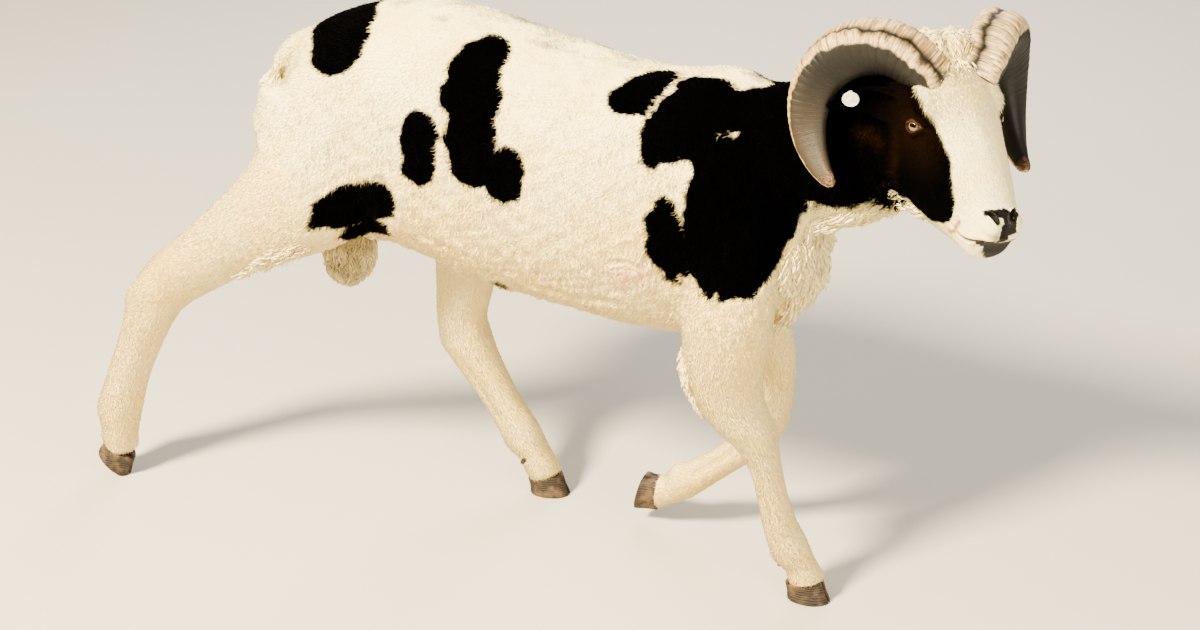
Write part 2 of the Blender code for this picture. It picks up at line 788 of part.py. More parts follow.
def makeHead():
    pieces = [skullLoft(32, 3), limbLoft("neck_stub", neckStations[3:], 28, 3)]
    for centre, radii in headMasses:
        for side in (1, -1):
            pieces.append(toWorld(ballObject("head_mass", mirrored(centre, side), radii)))
    bulge = eyeRadius + lidThickness
    for side in (1, -1):
        pieces.append(toWorld(ballObject("lid_bulge", mirrored(eyePlace, side), (bulge, bulge, bulge))))
    head = fusePieces("head_source", pieces, headVoxel, 6, 3000)
    cutByPlane(head, *headCut, True, nodeGap)
    cutters = [mouthCutter()]
    socket = eyeRadius + nodeGap
    for side in (1, -1):
        hollow = ballObject("socket", mirrored(eyePlace, side), (socket,) * 3, None, 20, 12)
        cutters.append(toWorld(hollow))
        cutters.append(lidCutter(side))
        lean = Matrix.Rotation(math.radians(-28 * side), 4, "X")
        nostril = ballObject("nostril", mirrored(nostrilPlace, side), nostrilRadii, lean, 10, 6)
        cutters.append(toWorld(nostril))
    return subtractAll(head, cutters)


def hornAxes(side):
    turn = math.radians(hornAxisTurn)
    tilt = math.radians(hornAxisTilt)
    axis = Vector((math.sin(turn) * math.cos(tilt), side * math.cos(turn) * math.cos(tilt), math.sin(tilt)))
    first = Vector((1.0, 0.0, 0.0))
    first = (first - axis * first.dot(axis)).normalized()
    second = axis.cross(first) * side
    return axis, first, second


def hornPoint(share, side):
    axis, first, second = hornAxes(side)
    phase = math.radians(hornPhase)
    angle = phase + math.radians(hornSweeps[side]) * share
    radius = hornRadiusStart + (hornRadiusEnd - hornRadiusStart) * share
    base = mirrored(hornBase, side) + Vector((0.0, hornShift, 0.0))
    hub = base - (first * math.cos(phase) + second * math.sin(phase)) * hornRadiusStart
    radial = first * math.cos(angle) + second * math.sin(angle)
    drift = math.copysign(abs(share) ** hornDriftPower, share) * hornDrifts[side]
    return hub + radial * radius + axis * drift, radial, axis


def makeHorn(side):
    shares = np.linspace(hornRoot, 1.0, hornRings)
    widths = np.interp(shares, [row[0] for row in hornWidths], [row[1] for row in hornWidths])
    rings = []
    for index, (share, width) in enumerate(zip(shares, widths)):
        centre, radial, axis = hornPoint(share, side)
        ahead = hornPoint(share + 0.01, side)[0]
        behind = hornPoint(share - 0.01, side)[0]
        along = (ahead - behind).normalized()
        outward = (radial - along * radial.dot(along)).normalized()
        sideways = (axis - along * axis.dot(along) - outward * axis.dot(outward)).normalized()
        wave = 1.0 if index % 2 else -1.0
        fade = max(0.0, 1.0 - max(0.0, share) ** 2)
        ring = []
        for step in range(hornSides):
            turn = 2 * math.pi * step / hornSides
            reach = 1.0 - 0.10 * math.cos(3 * turn)
            front = 0.5 + 0.5 * math.cos(turn)
            reach *= 1.0 + hornRidge * wave * fade * (0.35 + 0.65 * front)
            ring.append(centre + outward * (width * reach * math.cos(turn))
                        + sideways * (width * hornDepthShare * reach * math.sin(turn)))
        rings.append(ring)
    return toWorld(loftRings("horn_source", rings))


def earFrame(side):
    lie = earLies[side]
    mouth = mirrored(earMouth, side)
    mouth = (mouth - lie * mouth.dot(lie)).normalized()
    return lie, mouth, lie.cross(mouth)


def earSection(side, share):
    """Middle of the ear at a share of its length, the half angle of its roll and the radius of its bend."""
    half = 0.5 * earWidth * (0.62 + 0.38 * math.sin(math.pi * min(1.0, share * 1.35)))
    half *= math.sqrt(max(0.0, 1.0 - max(0.0, (share - 0.42) / 0.60) ** 2.2))
    opening = math.radians(earRoll[0] - earRoll[1] * min(1.0, share * 1.5))
    droop = Vector((0, 0, -earDroop * share ** 2))
    centre = mirrored(earRoot, side) + earLies[side] * (earLength * share) + droop
    return centre, opening, half / max(0.35, math.sin(min(opening, math.pi / 2)))


def earSheet(side):
    """A leaf that is rolled at its root and opens to a shallow cup."""
    lie, mouth, edge = earFrame(side)
    rows = 8
    columns = 7
    vertices = []
    for row in range(rows):
        centre, opening, bend = earSection(side, row / (rows - 1))
        for column in range(columns):
            angle = opening * (2.0 * column / (columns - 1) - 1.0)
            depth = bend * (math.cos(angle) - earCup)
            vertices.append(centre + edge * (bend * math.sin(angle)) - mouth * depth)
    faces = []
    for row in range(rows - 1):
        for column in range(columns - 1):
            start = row * columns + column
            faces.append((start, start + 1, start + columns + 1, start + columns))
    sheet = meshObject("ear_source", vertices, faces)
    thicken = sheet.modifiers.new("thicken", "SOLIDIFY")
    thicken.thickness = earThickness
    thicken.offset = 0.0
    thicken.use_even_offset = True
    bakeModifiers(sheet)
    turnOutward(sheet)
    return toWorld(sheet)


def tagStack(side, grow):
    """Button tag: a face disc, a stem through the ear and a small back."""
    lie, mouth, across = earFrame(side)
    centre, opening, bend = earSection(side, tagPlace)
    seat = centre - mouth * (bend * (1.0 - earCup)) + across * tagShift
    inner = 0.5 * earThickness + 2 * nodeGap
    profile = [(inner + tagThickness + grow, 0.0), (inner + tagThickness + grow, tagRadius + grow),
               (inner - grow, tagRadius + grow), (inner - grow, tagStem + grow),
               (-inner + grow, tagStem + grow), (-inner + grow, tagBack + grow),
               (-inner - tagThickness - grow, tagBack + grow), (-inner - tagThickness - grow, 0.0)]
    sides = 14
    rings = []
    for height, radius in profile[1:-1]:
        ring = []
        for step in range(sides):
            turn = 2 * math.pi * step / sides
            spoke = lie * (radius * math.cos(turn)) + across * (radius * math.sin(turn))
            ring.append(seat + mouth * height + spoke)
        rings.append(ring)
    return toWorld(loftRings("tag_source", rings))


def clawBody(origin, toe, left, up, side):
    """One claw of a foot: origin is the middle of the foot on the sole's plane."""
    outline = [(-0.42, 0.00), (-0.40, 0.55), (-0.26, 0.88), (0.00, 1.00), (0.26, 0.86), (0.46, 0.52),
               (0.56, 0.12),
               (0.50, 0.00), (0.05, 0.00)]
    rings = []
    for level, shrink in ((0.0, 1.0), (0.5, 0.93), (1.0, 0.86)):
        ring = []
        for along, across in outline:
            x = along * clawLength * shrink - level * clawLength * 0.13
            height = clawHeel + clawRise * (x + clawBack * clawLength)
            inner = 0.5 * clawCleft + max(0.0, along) * clawLength * clawToeIn * 0.5
            y = inner + across * clawWidth * shrink
            point = origin + toe * x + left * (y * side) + up * (height * level)
            ring.append(point)
        rings.append(ring)
    return loftRings("claw_source", rings)


def footFrame(heading, pitch):
    """Toe and up directions from a heading about Z and a pitch of the toe below the level."""
    turn = math.radians(heading)
    drop = math.radians(pitch)
    toe = Vector((math.cos(turn) * math.cos(drop), math.sin(turn) * math.cos(drop), -math.sin(drop)))
    left = Vector((-math.sin(turn), math.cos(turn), 0.0))
    return toe, left, toe.cross(left)


# Feet: middle of the sole, heading of the toe about Z, pitch of the toe below the level
feet = {
    "foreleg_right": dict(sole=(0.3660, -0.0540, 0.0), heading=-4.0, pitch=0.0),
    "foreleg_left": dict(sole=(0.0890, 0.0565, 0.0500), heading=0.0, pitch=104.0),
    "hindleg_right": dict(sole=(-0.6730, -0.1010, 0.0188), heading=-3.0, pitch=42.0),
    "hindleg_left": dict(sole=(-0.0640, 0.0840, 0.0), heading=4.0, pitch=0.0),
}
# Each leg: stations, cut from the body, station number of the knee or hock cut
legs = {
    "foreleg_right": (foreRightStations, foreRightCut, 6),
    "foreleg_left": (foreLeftStations, foreLeftCut, 7),
    "hindleg_right": (hindRightStations, hindRightCut, 7),
    "hindleg_left": (hindLeftStations, hindLeftCut, 7),
}


def coronetCut(foot):
    """The slanting plane where hair ends and claw begins."""
    toe, left, up = footFrame(foot["heading"], foot["pitch"])
    normal = (up - toe * clawRise).normalized()
    middle = Vector(foot["sole"]) + up * (clawHeel + clawRise * clawBack * clawLength)
    return middle, normal


def makeLeg(name):
    stations, bodyCut, kneeNumber = legs[name]
    foot = feet[name]
    knee = Vector(stations[kneeNumber][:3])
    kneeAlong = (Vector(stations[kneeNumber + 1][:3]) - Vector(stations[kneeNumber - 1][:3])).normalized()
    upper = limbLoft("upper", stations[2:kneeNumber + 3], 16, 2)
    cutByPlane(upper, *bodyCut, True, nodeGap)
    cutByPlane(upper, knee, kneeAlong, False, 0.0)
    if name in forearmPlaces:
        addForearmLocks(upper, name)
    lower = limbLoft("lower", stations[kneeNumber - 1:], 14, 2)
    cutByPlane(lower, knee, kneeAlong, True, nodeGap)
    cutByPlane(lower, *coronetCut(foot), True, nodeGap)
    handIn(upper, name + "_upper", legHair)
    handIn(lower, name + "_lower", legHair)


def makeClaws(name):
    foot = feet[name]
    toe, left, up = footFrame(foot["heading"], foot["pitch"])
    for side, label in ((1, "left"), (-1, "right")):
        claw = clawBody(Vector(foot["sole"]), toe, left, up, side)
        cutByPlane(claw, (0, 0, 0), (0, 0, 1), True, 0.0)
        handIn(claw, name.replace("leg", "") + "_claw_" + label, clawKeratin)


body = makeBody()
torso = makeTorso(body)
neck = makeNeck(body)
dropObject(body)
head = makeHead()
grown = inflatedCopy(head, nodeGap)
addHeadLocks(head)
for side, label in ((1, "left"), (-1, "right")):
    horn = makeHorn(side)
    hornKeep = meshObject("head_for_horn", [], [])
    hornKeep.data = grown.data.copy()
    subtractAll(horn, [hornKeep])
    handIn(horn, "horn_" + label, hornKeratin)
    ear = earSheet(side)
    earKeep = meshObject("head_for_ear", [], [])
    earKeep.data = grown.data.copy()
    cutters = [earKeep]
    if side < 0:
        cutters.append(tagStack(side, nodeGap))
        handIn(tagStack(side, 0.0), "ear_tag", tagPlastic)
    subtractAll(ear, cutters)
    handIn(ear, "ear_" + label, woolBlack)
    eye = toWorld(ballObject("eye_source", mirrored(eyePlace, side), (eyeRadius,) * 3, None, 16, 10))
    handIn(eye, "eye_" + label, eyeMaterial)
dropObject(grown)
handIn(head, "head", faceHair)
handIn(neck, "neck", woolBlack)
tail = limbLoft("tail_source", tailStations, 14, 3)
subtractAll(tail, [inflatedCopy(torso, nodeGap)])
addTailLocks(tail)
handIn(tail, "tail", woolWhite)
addTrunkLocks(torso)
handIn(torso, "torso", woolWhite)
scrotum = limbLoft("scrotum_source", scrotumStations, 14, 3)
cutByPlane(scrotum, *scrotumCut, True, nodeGap)
handIn(scrotum, "scrotum", woolWhite)
for legName in legs:
    makeLeg(legName)
    makeClaws(legName)

# The bounding box is centred over the origin
lows = Vector((1e9, 1e9, 1e9))
highs = -lows
for part in partsCollection.objects:
    for vertex in part.data.vertices:
        lows = Vector(map(min, lows, vertex.co))
        highs = Vector(map(max, highs, vertex.co))
floorShift = Vector((-0.5 * (lows.x + highs.x), -0.5 * (lows.y + highs.y), -lows.z))
for part in partsCollection.objects:
    part.data.transform(Matrix.Translation(floorShift))
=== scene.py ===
# Jacob sheep ram, a still life-size model: one skin, its coat, horns, eyes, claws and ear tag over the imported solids.
import json
import math
import time

import bmesh
import bpy
import numpy as np
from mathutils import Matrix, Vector

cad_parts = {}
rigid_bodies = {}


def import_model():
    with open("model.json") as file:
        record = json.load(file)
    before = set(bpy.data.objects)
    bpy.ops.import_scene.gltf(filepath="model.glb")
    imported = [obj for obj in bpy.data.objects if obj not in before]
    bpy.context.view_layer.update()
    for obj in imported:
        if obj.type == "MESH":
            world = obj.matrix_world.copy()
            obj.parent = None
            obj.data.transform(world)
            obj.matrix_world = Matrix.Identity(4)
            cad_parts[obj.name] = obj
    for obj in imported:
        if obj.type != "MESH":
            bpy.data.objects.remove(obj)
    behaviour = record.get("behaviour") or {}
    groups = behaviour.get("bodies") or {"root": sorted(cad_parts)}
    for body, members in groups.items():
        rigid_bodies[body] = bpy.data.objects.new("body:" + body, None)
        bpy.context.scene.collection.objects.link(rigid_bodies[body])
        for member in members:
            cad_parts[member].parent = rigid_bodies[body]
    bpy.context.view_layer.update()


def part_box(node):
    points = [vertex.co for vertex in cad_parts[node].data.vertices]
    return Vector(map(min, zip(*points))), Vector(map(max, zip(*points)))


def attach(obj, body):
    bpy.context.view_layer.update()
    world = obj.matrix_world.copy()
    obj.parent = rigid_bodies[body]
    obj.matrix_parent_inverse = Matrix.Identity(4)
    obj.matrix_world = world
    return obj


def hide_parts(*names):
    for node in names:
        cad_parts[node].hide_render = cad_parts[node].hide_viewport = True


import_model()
startTime = time.time()


def report(words):
    print(f"[{time.time() - startTime:5.1f} s] {words}")


# small tools for numbers
def smoothStep(low, high, value):
    share = np.clip((value - low) / (high - low), 0.0, 1.0)
    return share * share * (3.0 - 2.0 * share)


def bell(value, middle, width):
    return np.exp(-((value - middle) / width) ** 2)


def unit(vectors):
    return vectors / np.maximum(np.linalg.norm(vectors, axis=-1, keepdims=True), 1e-12)


def dots(first, second):
    # row by row
    return np.einsum("ij,ij->i", first, second)


def distances(points, place):
    return np.linalg.norm(points - np.array(place), axis=1)


def turns(count):
    # angles once round
    return np.linspace(0, 2 * math.pi, count, endpoint=False)


def catmullRows(rows, perSpan):
    # a smooth run through rows of numbers
    table = np.array(rows, dtype=float)
    padded = np.vstack([2 * table[0] - table[1], table, 2 * table[-1] - table[-2]])
    made = []
    for span in range(len(table) - 1):
        before, start, end, after = padded[span:span + 4]
        for step in range(perSpan):
            t = step / perSpan
            made.append(0.5 * (2 * start + (end - before) * t
                               + (2 * before - 5 * start + 4 * end - after) * t ** 2
                               + (3 * start - before - 3 * end + after) * t ** 3))
    made.append(table[-1])
    return np.array(made)


def waveNoise(points, size, seed):
    # a smooth noise from turned sine waves, about -1 to 1, with waves near the given size in metres
    draw = np.random.default_rng(seed)
    total = np.zeros(len(points))
    for octave in range(7):
        turn = unit(draw.normal(size=3)) * (2 * math.pi / (size * (0.6 + 0.25 * octave)))
        total += np.sin(points @ turn + draw.uniform(0, 2 * math.pi))
    return total / 3.2


# small tools for meshes
def meshFromArrays(name, vertices, faces, smooth=True):
    # faces is an array of triangles or of quads
    mesh = bpy.data.meshes.new(name)
    corners = faces.shape[1]
    mesh.vertices.add(len(vertices))
    mesh.vertices.foreach_set("co", np.ascontiguousarray(vertices, dtype=np.float32).ravel())
    mesh.loops.add(faces.size)
    mesh.loops.foreach_set("vertex_index", np.ascontiguousarray(faces, dtype=np.int32).ravel())
    mesh.polygons.add(len(faces))
    mesh.polygons.foreach_set("loop_start", np.arange(0, faces.size, corners, dtype=np.int32))
    mesh.update(calc_edges=True)
    mesh.polygons.foreach_set("use_smooth", np.full(len(faces), smooth))
    mesh.update()
    made = bpy.data.objects.new(name, mesh)
    bpy.context.scene.collection.objects.link(made)
    return made


def readVectors(piece, kind="co"):
    found = np.empty(len(piece.data.vertices) * 3, dtype=np.float32)
    piece.data.vertices.foreach_get(kind, found)
    return found.reshape(-1, 3).astype(float)


def readEdges(piece):
    found = np.empty(len(piece.data.edges) * 2, dtype=np.int32)
    piece.data.edges.foreach_get("vertices", found)
    return found.reshape(-1, 2)


def writePoints(piece, points):
    piece.data.vertices.foreach_set("co", np.ascontiguousarray(points, dtype=np.float32).ravel())
    piece.data.update()


def writeMark(piece, name, values):
    # one number or vector for each vertex, read by the materials and by the coat's tree
    kind, field = ("FLOAT", "value") if np.ndim(values) == 1 else ("FLOAT_VECTOR", "vector")
    mark = piece.data.attributes.new(name, kind, "POINT")
    mark.data.foreach_set(field, np.ascontiguousarray(values, dtype=np.float32).ravel())


def dropMarks(piece, *names):
    for name in names:
        if name in piece.data.attributes:
            piece.data.attributes.remove(piece.data.attributes[name])


def bakeModifiers(piece):
    graph = bpy.context.evaluated_depsgraph_get()
    baked = bpy.data.meshes.new_from_object(piece.evaluated_get(graph))
    old = piece.data
    piece.modifiers.clear()
    piece.data = baked
    bpy.data.meshes.remove(old)


def splitLongEdges(piece, rounds):
    # each round gives the longest edge that is left, and a function that picks the points it holds for
    shape = bmesh.new()
    shape.from_mesh(piece.data)
    for longest, chosen in rounds:
        shape.verts.ensure_lookup_table()
        near = chosen(np.array([vertex.co for vertex in shape.verts]))
        long = [edge for edge in shape.edges if near[edge.verts[0].index] and near[edge.verts[1].index]
                and edge.calc_length() > longest]
        bmesh.ops.subdivide_edges(shape, edges=long, cuts=1)
        bmesh.ops.triangulate(shape, faces=[face for face in shape.faces if len(face.verts) > 3])
    shape.to_mesh(piece.data)
    shape.free()


def tubeFaces(rings, sides):
    # quads between rings that follow each other
    ring = np.arange(rings - 1)[:, None] * sides
    side = np.arange(sides)[None, :]
    after = (side + 1) % sides
    quads = np.stack([ring + side, ring + after, ring + sides + after, ring + sides + side], axis=-1)
    return quads.reshape(-1, 4)


def closedTube(rings):
    # rings: (count, sides, 3); returns vertices and triangles of a closed body that faces outwards
    count, sides = rings.shape[:2]
    points = rings.reshape(-1, 3)
    quads = tubeFaces(count, sides)
    first, last = len(points), len(points) + 1
    points = np.vstack([points, rings[0].mean(axis=0), rings[-1].mean(axis=0)])
    side = np.arange(sides)
    after = (side + 1) % sides
    base = (count - 1) * sides
    triangles = np.vstack([quads[:, [0, 1, 2]], quads[:, [0, 2, 3]],
                           np.stack([after, side, np.full(sides, first)], axis=1),
                           np.stack([base + side, base + after, np.full(sides, last)], axis=1)])
    a, b, c = (points[triangles[:, corner]] for corner in range(3))
    if dots(a, np.cross(b, c)).sum() < 0:
        triangles = triangles[:, ::-1]
    return points, triangles


def joinShapes(shapes):
    points, triangles, start = [], [], 0
    for shapePoints, shapeTriangles in shapes:
        points.append(shapePoints)
        triangles.append(shapeTriangles + start)
        start += len(shapePoints)
    return np.vstack(points), np.vstack(triangles)


# small tools for materials
def hexColour(code):
    # sRGB hex to linear
    channels = [int(code[i:i + 2], 16) / 255 for i in (0, 2, 4)]
    linear = [c / 12.92 if c <= 0.04045 else ((c + 0.055) / 1.055) ** 2.4 for c in channels]
    return (*linear, 1.0)


def addNode(tree, kind, inputs=(), out=None, **settings):
    # a node with its settings; inputs by name, or in the order of the live sockets, with None for one left alone.
    # A socket is linked, and any other value is set. Returns the output of the given name, or the first live one.
    node = tree.nodes.new(kind)
    for name, value in settings.items():
        setattr(node, name, value)
    live = [socket for socket in node.inputs if socket.enabled]
    for key, value in inputs.items() if isinstance(inputs, dict) else enumerate(inputs):
        socket = node.inputs[key] if isinstance(inputs, dict) else live[key]
        if isinstance(value, bpy.types.NodeSocket):
            tree.links.new(value, socket)
        elif value is not None:
            socket.default_value = value
    return node.outputs[out] if out else next((socket for socket in node.outputs if socket.enabled), None)


def startMaterial(name, marks=()):
    # the material, its tree, the place on the object, and the marks that it reads
    material = bpy.data.materials.new(name)
    material.use_nodes = True
    tree = material.node_tree
    tree.nodes.clear()
    place = addNode(tree, "ShaderNodeTexCoord", out="Object")
    marks = [addNode(tree, "ShaderNodeAttribute", out="Fac", attribute_name=mark) for mark in marks]
    return material, tree, place, marks


def finishMaterial(material, inputs, height=None, strength=0.0, depth=0.0):
    # inputs of the shader, and a bump of that strength and depth in metres
    tree = material.node_tree
    if height is not None:
        inputs["Normal"] = addNode(tree, "ShaderNodeBump", {"Height": height, "Strength": strength, "Distance": depth})
    addNode(tree, "ShaderNodeOutputMaterial", [addNode(tree, "ShaderNodeBsdfPrincipled", inputs)])
    return material


# the head's own frame: x down the face, y to the animal's left, z out of the face
headSet = {
    "poll": (0.502, -0.0675, 0.777),
    "turn": 48.0,  # degrees to the animal's right
    "slope": 41.0,  # of the face below the level
    "tilt": -2.0,
    "eye": (0.090, 0.0470, -0.036),
    "gaze": (0.22, 0.90, 0.30),
    "eyeRadius": 0.0128,
}


def headAxes():
    turn, slope, tilt = (math.radians(headSet[key]) for key in ("turn", "slope", "tilt"))
    face = np.array([math.cos(turn) * math.cos(slope), -math.sin(turn) * math.cos(slope), -math.sin(slope)])
    left = np.array([math.sin(turn), math.cos(turn), 0.0])
    outward = np.cross(face, left)
    left = left * math.cos(tilt) + outward * math.sin(tilt)
    return np.stack([face, left, np.cross(face, left)])


headTurn = headAxes()
eyeMiddle = np.mean(np.array(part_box("eye_right"), dtype=float), axis=0)
eyeRight = np.array(headSet["eye"]) * (1, -1, 1)
headOrigin = eyeMiddle - eyeRight @ headTurn
floorShift = headOrigin - np.array(headSet["poll"])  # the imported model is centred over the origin
report(f"head frame set, shift {floorShift.round(4).tolist()}")


def toHead(points):
    return (points - headOrigin) @ headTurn.T


def fromHead(points):
    return points @ headTurn + headOrigin


# the skin: lofts under the fleece, fused and then shaped
# trunk: x, top, belly, half width, power of the section; limbs: x, y, z, half depth, half width
skinSet = {
    "trunk": [
        (-0.392, 0.628, 0.54, 0.036, 2.0), (-0.375, 0.664, 0.48, 0.074, 2.1), (-0.332, 0.697, 0.43, 0.108, 2.2),
        (-0.262, 0.722, 0.41, 0.13, 2.3), (-0.18, 0.731, 0.392, 0.137, 2.3), (-0.09, 0.72, 0.366, 0.142, 2.3),
        (0.0, 0.7, 0.356, 0.146, 2.3), (0.09, 0.682, 0.345, 0.144, 2.3), (0.16, 0.681, 0.337, 0.139, 2.2),
        (0.225, 0.691, 0.338, 0.128, 2.1), (0.272, 0.674, 0.352, 0.114, 2.0), (0.316, 0.618, 0.382, 0.092, 2.0),
        (0.345, 0.55, 0.425, 0.054, 2.0)],
    "neck": [
        (0.19, 0.0, 0.545, 0.13, 0.104), (0.258, -0.002, 0.57, 0.108, 0.092),
        (0.315, -0.006, 0.592, 0.094, 0.079), (0.362, -0.01, 0.601, 0.086, 0.068),
        (0.412, -0.016, 0.619, 0.088, 0.062), (0.455, -0.026, 0.651, 0.09, 0.058),
        (0.48, -0.036, 0.678, 0.072, 0.05)],
    "foreRight": [
        (0.268, -0.064, 0.55, 0.052, 0.038), (0.262, -0.088, 0.45, 0.064, 0.046),
        (0.26, -0.099, 0.372, 0.058, 0.044), (0.259, -0.098, 0.322, 0.052, 0.04),
        (0.272, -0.094, 0.28, 0.043, 0.034), (0.296, -0.088, 0.241, 0.031, 0.029),
        (0.311, -0.082, 0.2, 0.023, 0.0215), (0.321, -0.075, 0.15, 0.0215, 0.02),
        (0.331, -0.068, 0.106, 0.0245, 0.0225), (0.343, -0.062, 0.074, 0.0265, 0.024),
        (0.357, -0.056, 0.045, 0.0225, 0.0225), (0.364, -0.054, 0.03, 0.025, 0.0245),
        (0.368, -0.053, 0.018, 0.025, 0.0245)],
    "foreLeft": [
        (0.266, 0.064, 0.55, 0.052, 0.038), (0.251, 0.086, 0.44, 0.061, 0.046), (0.242, 0.09, 0.362, 0.053, 0.043),
        (0.243, 0.085, 0.318, 0.045, 0.039), (0.262, 0.076, 0.27, 0.038, 0.031), (0.271, 0.068, 0.224, 0.029, 0.028),
        (0.264, 0.063, 0.184, 0.03, 0.028), (0.236, 0.058, 0.143, 0.0235, 0.022),
        (0.205, 0.056, 0.114, 0.022, 0.0205), (0.174, 0.055, 0.09, 0.024, 0.0225),
        (0.152, 0.055, 0.073, 0.0255, 0.024), (0.13, 0.056, 0.058, 0.0225, 0.0225),
        (0.117, 0.056, 0.051, 0.0235, 0.0235), (0.106, 0.056, 0.045, 0.0235, 0.0235)],
    "hindRight": [
        (-0.29, -0.066, 0.59, 0.12, 0.06), (-0.312, -0.086, 0.51, 0.108, 0.064),
        (-0.36, -0.096, 0.458, 0.078, 0.056), (-0.427, -0.1, 0.411, 0.056, 0.044),
        (-0.491, -0.1, 0.364, 0.047, 0.037), (-0.55, -0.099, 0.32, 0.042, 0.032),
        (-0.582, -0.098, 0.28, 0.038, 0.031), (-0.604, -0.098, 0.232, 0.033, 0.029),
        (-0.63, -0.1, 0.172, 0.031, 0.0265), (-0.652, -0.101, 0.108, 0.033, 0.028),
        (-0.658, -0.101, 0.07, 0.029, 0.0265), (-0.657, -0.101, 0.048, 0.026, 0.025),
        (-0.655, -0.101, 0.036, 0.026, 0.025)],
    "hindLeft": [
        (-0.3, 0.066, 0.585, 0.12, 0.06), (-0.255, 0.088, 0.51, 0.105, 0.062),
        (-0.205, 0.1, 0.43, 0.078, 0.054), (-0.19, 0.1, 0.362, 0.053, 0.044),
        (-0.195, 0.097, 0.3, 0.043, 0.036), (-0.2, 0.094, 0.245, 0.037, 0.031),
        (-0.186, 0.092, 0.205, 0.036, 0.031), (-0.16, 0.09, 0.165, 0.03, 0.027),
        (-0.132, 0.088, 0.122, 0.027, 0.0245), (-0.105, 0.086, 0.084, 0.029, 0.0265),
        (-0.086, 0.085, 0.056, 0.025, 0.0245), (-0.073, 0.084, 0.036, 0.0255, 0.025),
        (-0.066, 0.084, 0.022, 0.0255, 0.025)],
    "tail": [
        (-0.33, 0.0, 0.668, 0.018, 0.022), (-0.368, 0.0, 0.66, 0.018, 0.024),
        (-0.398, -0.001, 0.64, 0.0175, 0.0235), (-0.414, -0.003, 0.61, 0.016, 0.022),
        (-0.421, -0.005, 0.576, 0.0145, 0.019), (-0.424, -0.006, 0.548, 0.0095, 0.012)],
    "scrotum": [
        (-0.316, 0.0, 0.46, 0.034, 0.028), (-0.318, 0.0, 0.415, 0.03, 0.024),
        (-0.322, 0.0, 0.375, 0.037, 0.031), (-0.326, 0.0, 0.34, 0.032, 0.029),
        (-0.329, 0.0, 0.318, 0.017, 0.016)],
    # rounded masses: centre, radii, turn about Y in degrees
    "masses": [
        ((0.228, 0.06, 0.53), (0.086, 0.052, 0.118), 20), ((0.266, 0.056, 0.458), (0.058, 0.042, 0.066), 30),
        ((-0.275, 0.07, 0.56), (0.108, 0.062, 0.116), -12), ((-0.345, 0.062, 0.52), (0.062, 0.046, 0.085), 10),
        ((0.235, 0.0, 0.405), (0.086, 0.066, 0.06), 14)],
    # head: x, face line, jaw line, half width, widening to the top
    "skull": [
        (-0.04, -0.062, -0.1, 0.032, 0.0), (-0.022, -0.036, -0.128, 0.046, 0.0),
        (0.004, -0.012, -0.152, 0.054, 0.05), (0.036, 0.002, -0.166, 0.0575, 0.12),
        (0.07, 0.007, -0.171, 0.0575, 0.18), (0.105, 0.006, -0.169, 0.052, 0.22),
        (0.14, 0.003, -0.156, 0.0455, 0.22), (0.172, -0.001, -0.134, 0.0415, 0.16),
        (0.203, -0.005, -0.107, 0.036, 0.06), (0.226, -0.009, -0.09, 0.032, 0.0),
        (0.241, -0.015, -0.082, 0.027, 0.0), (0.248, -0.026, -0.073, 0.019, 0.0)],
    "headMasses": [
        ((0.074, 0.04, -0.015), (0.028, 0.016, 0.013)), ((0.088, 0.032, -0.1), (0.052, 0.02, 0.05)),
        ((0.23, 0.0135, -0.019), (0.017, 0.0125, 0.0115)), ((0.231, 0.012, -0.032), (0.018, 0.0165, 0.011)),
        ((0.23, 0.008, -0.06), (0.0185, 0.016, 0.015)), ((0.022, 0.014, -0.02), (0.034, 0.03, 0.024))],
    "lidThickness": 0.0032,
    "voxel": 0.0022,
    "bodySmoothing": 90,  # rounds of smoothing, which blend the limbs into the trunk
    "headSmoothing": 9,
    "triangles": 72000,  # before the face is made finer
    "fleeceDepth": 0.004,  # how far the skin lies inside the solids
    "legDepth": 0.0016,
    "faceDepth": 0.0007,
}
earSet = {
    "root": (0.046, 0.05, -0.055),
    "lies": {1: (-0.16, 0.76, -0.5), -1: (-0.3, -0.8, -0.38)},
    "mouth": (0.62, 0.3, 0.24),
    "length": 0.078,
    "width": 0.044,
    "thickness": 0.005,
    "droop": 0.01,
    "tagPlace": 0.68,
    "tagShift": 0.004,
}
# feet: middle of the sole, heading of the toe about Z, pitch of the toe below the level
feetSet = {
    "foreRight": ((0.366, -0.054, 0.0), -4.0, 0.0),
    "foreLeft": ((0.089, 0.0565, 0.05), 0.0, 104.0),
    "hindRight": ((-0.673, -0.101, 0.0188), -3.0, 42.0),
    "hindLeft": ((-0.064, 0.084, 0.0), 4.0, 0.0),
}
clawSet = {
    "length": 0.056, "width": 0.0215, "front": 0.034, "heel": 0.022, "back": 0.42, "cleft": 0.0012, "toeIn": 0.10,
    # shares of the size: lost at the top, rings, waist, worn edge of the sole, and how far the top leans back
    "taper": 0.14, "rings": 0.006, "waist": 0.03, "worn": 0.03, "lean": 0.13,
}


limbNames = ("foreRight", "foreLeft", "hindRight", "hindLeft")
loftNames = ("neck", *limbNames, "tail", "scrotum")


def powered(value, power):
    return np.sign(value) * np.abs(value) ** (2.0 / power)


def ovalBody(table, sides, powers, widenings):
    # a loft along x through flat ovals: x, top, bottom and half width of each
    turn = turns(sides)
    rings = []
    for (x, top, low, half), power, widening in zip(table, powers, widenings):
        across, upward = powered(np.cos(turn), power), powered(np.sin(turn), power)
        rings.append(np.stack([np.full(sides, x), half * across * (1.0 + widening * upward),
                               0.5 * (top + low) + 0.5 * (top - low) * upward], axis=1))
    return closedTube(np.array(rings))


def trunkShape():
    table = catmullRows(skinSet["trunk"], 8)
    return ovalBody(table[:, :4], 72, table[:, 4], [-0.07] * len(table))


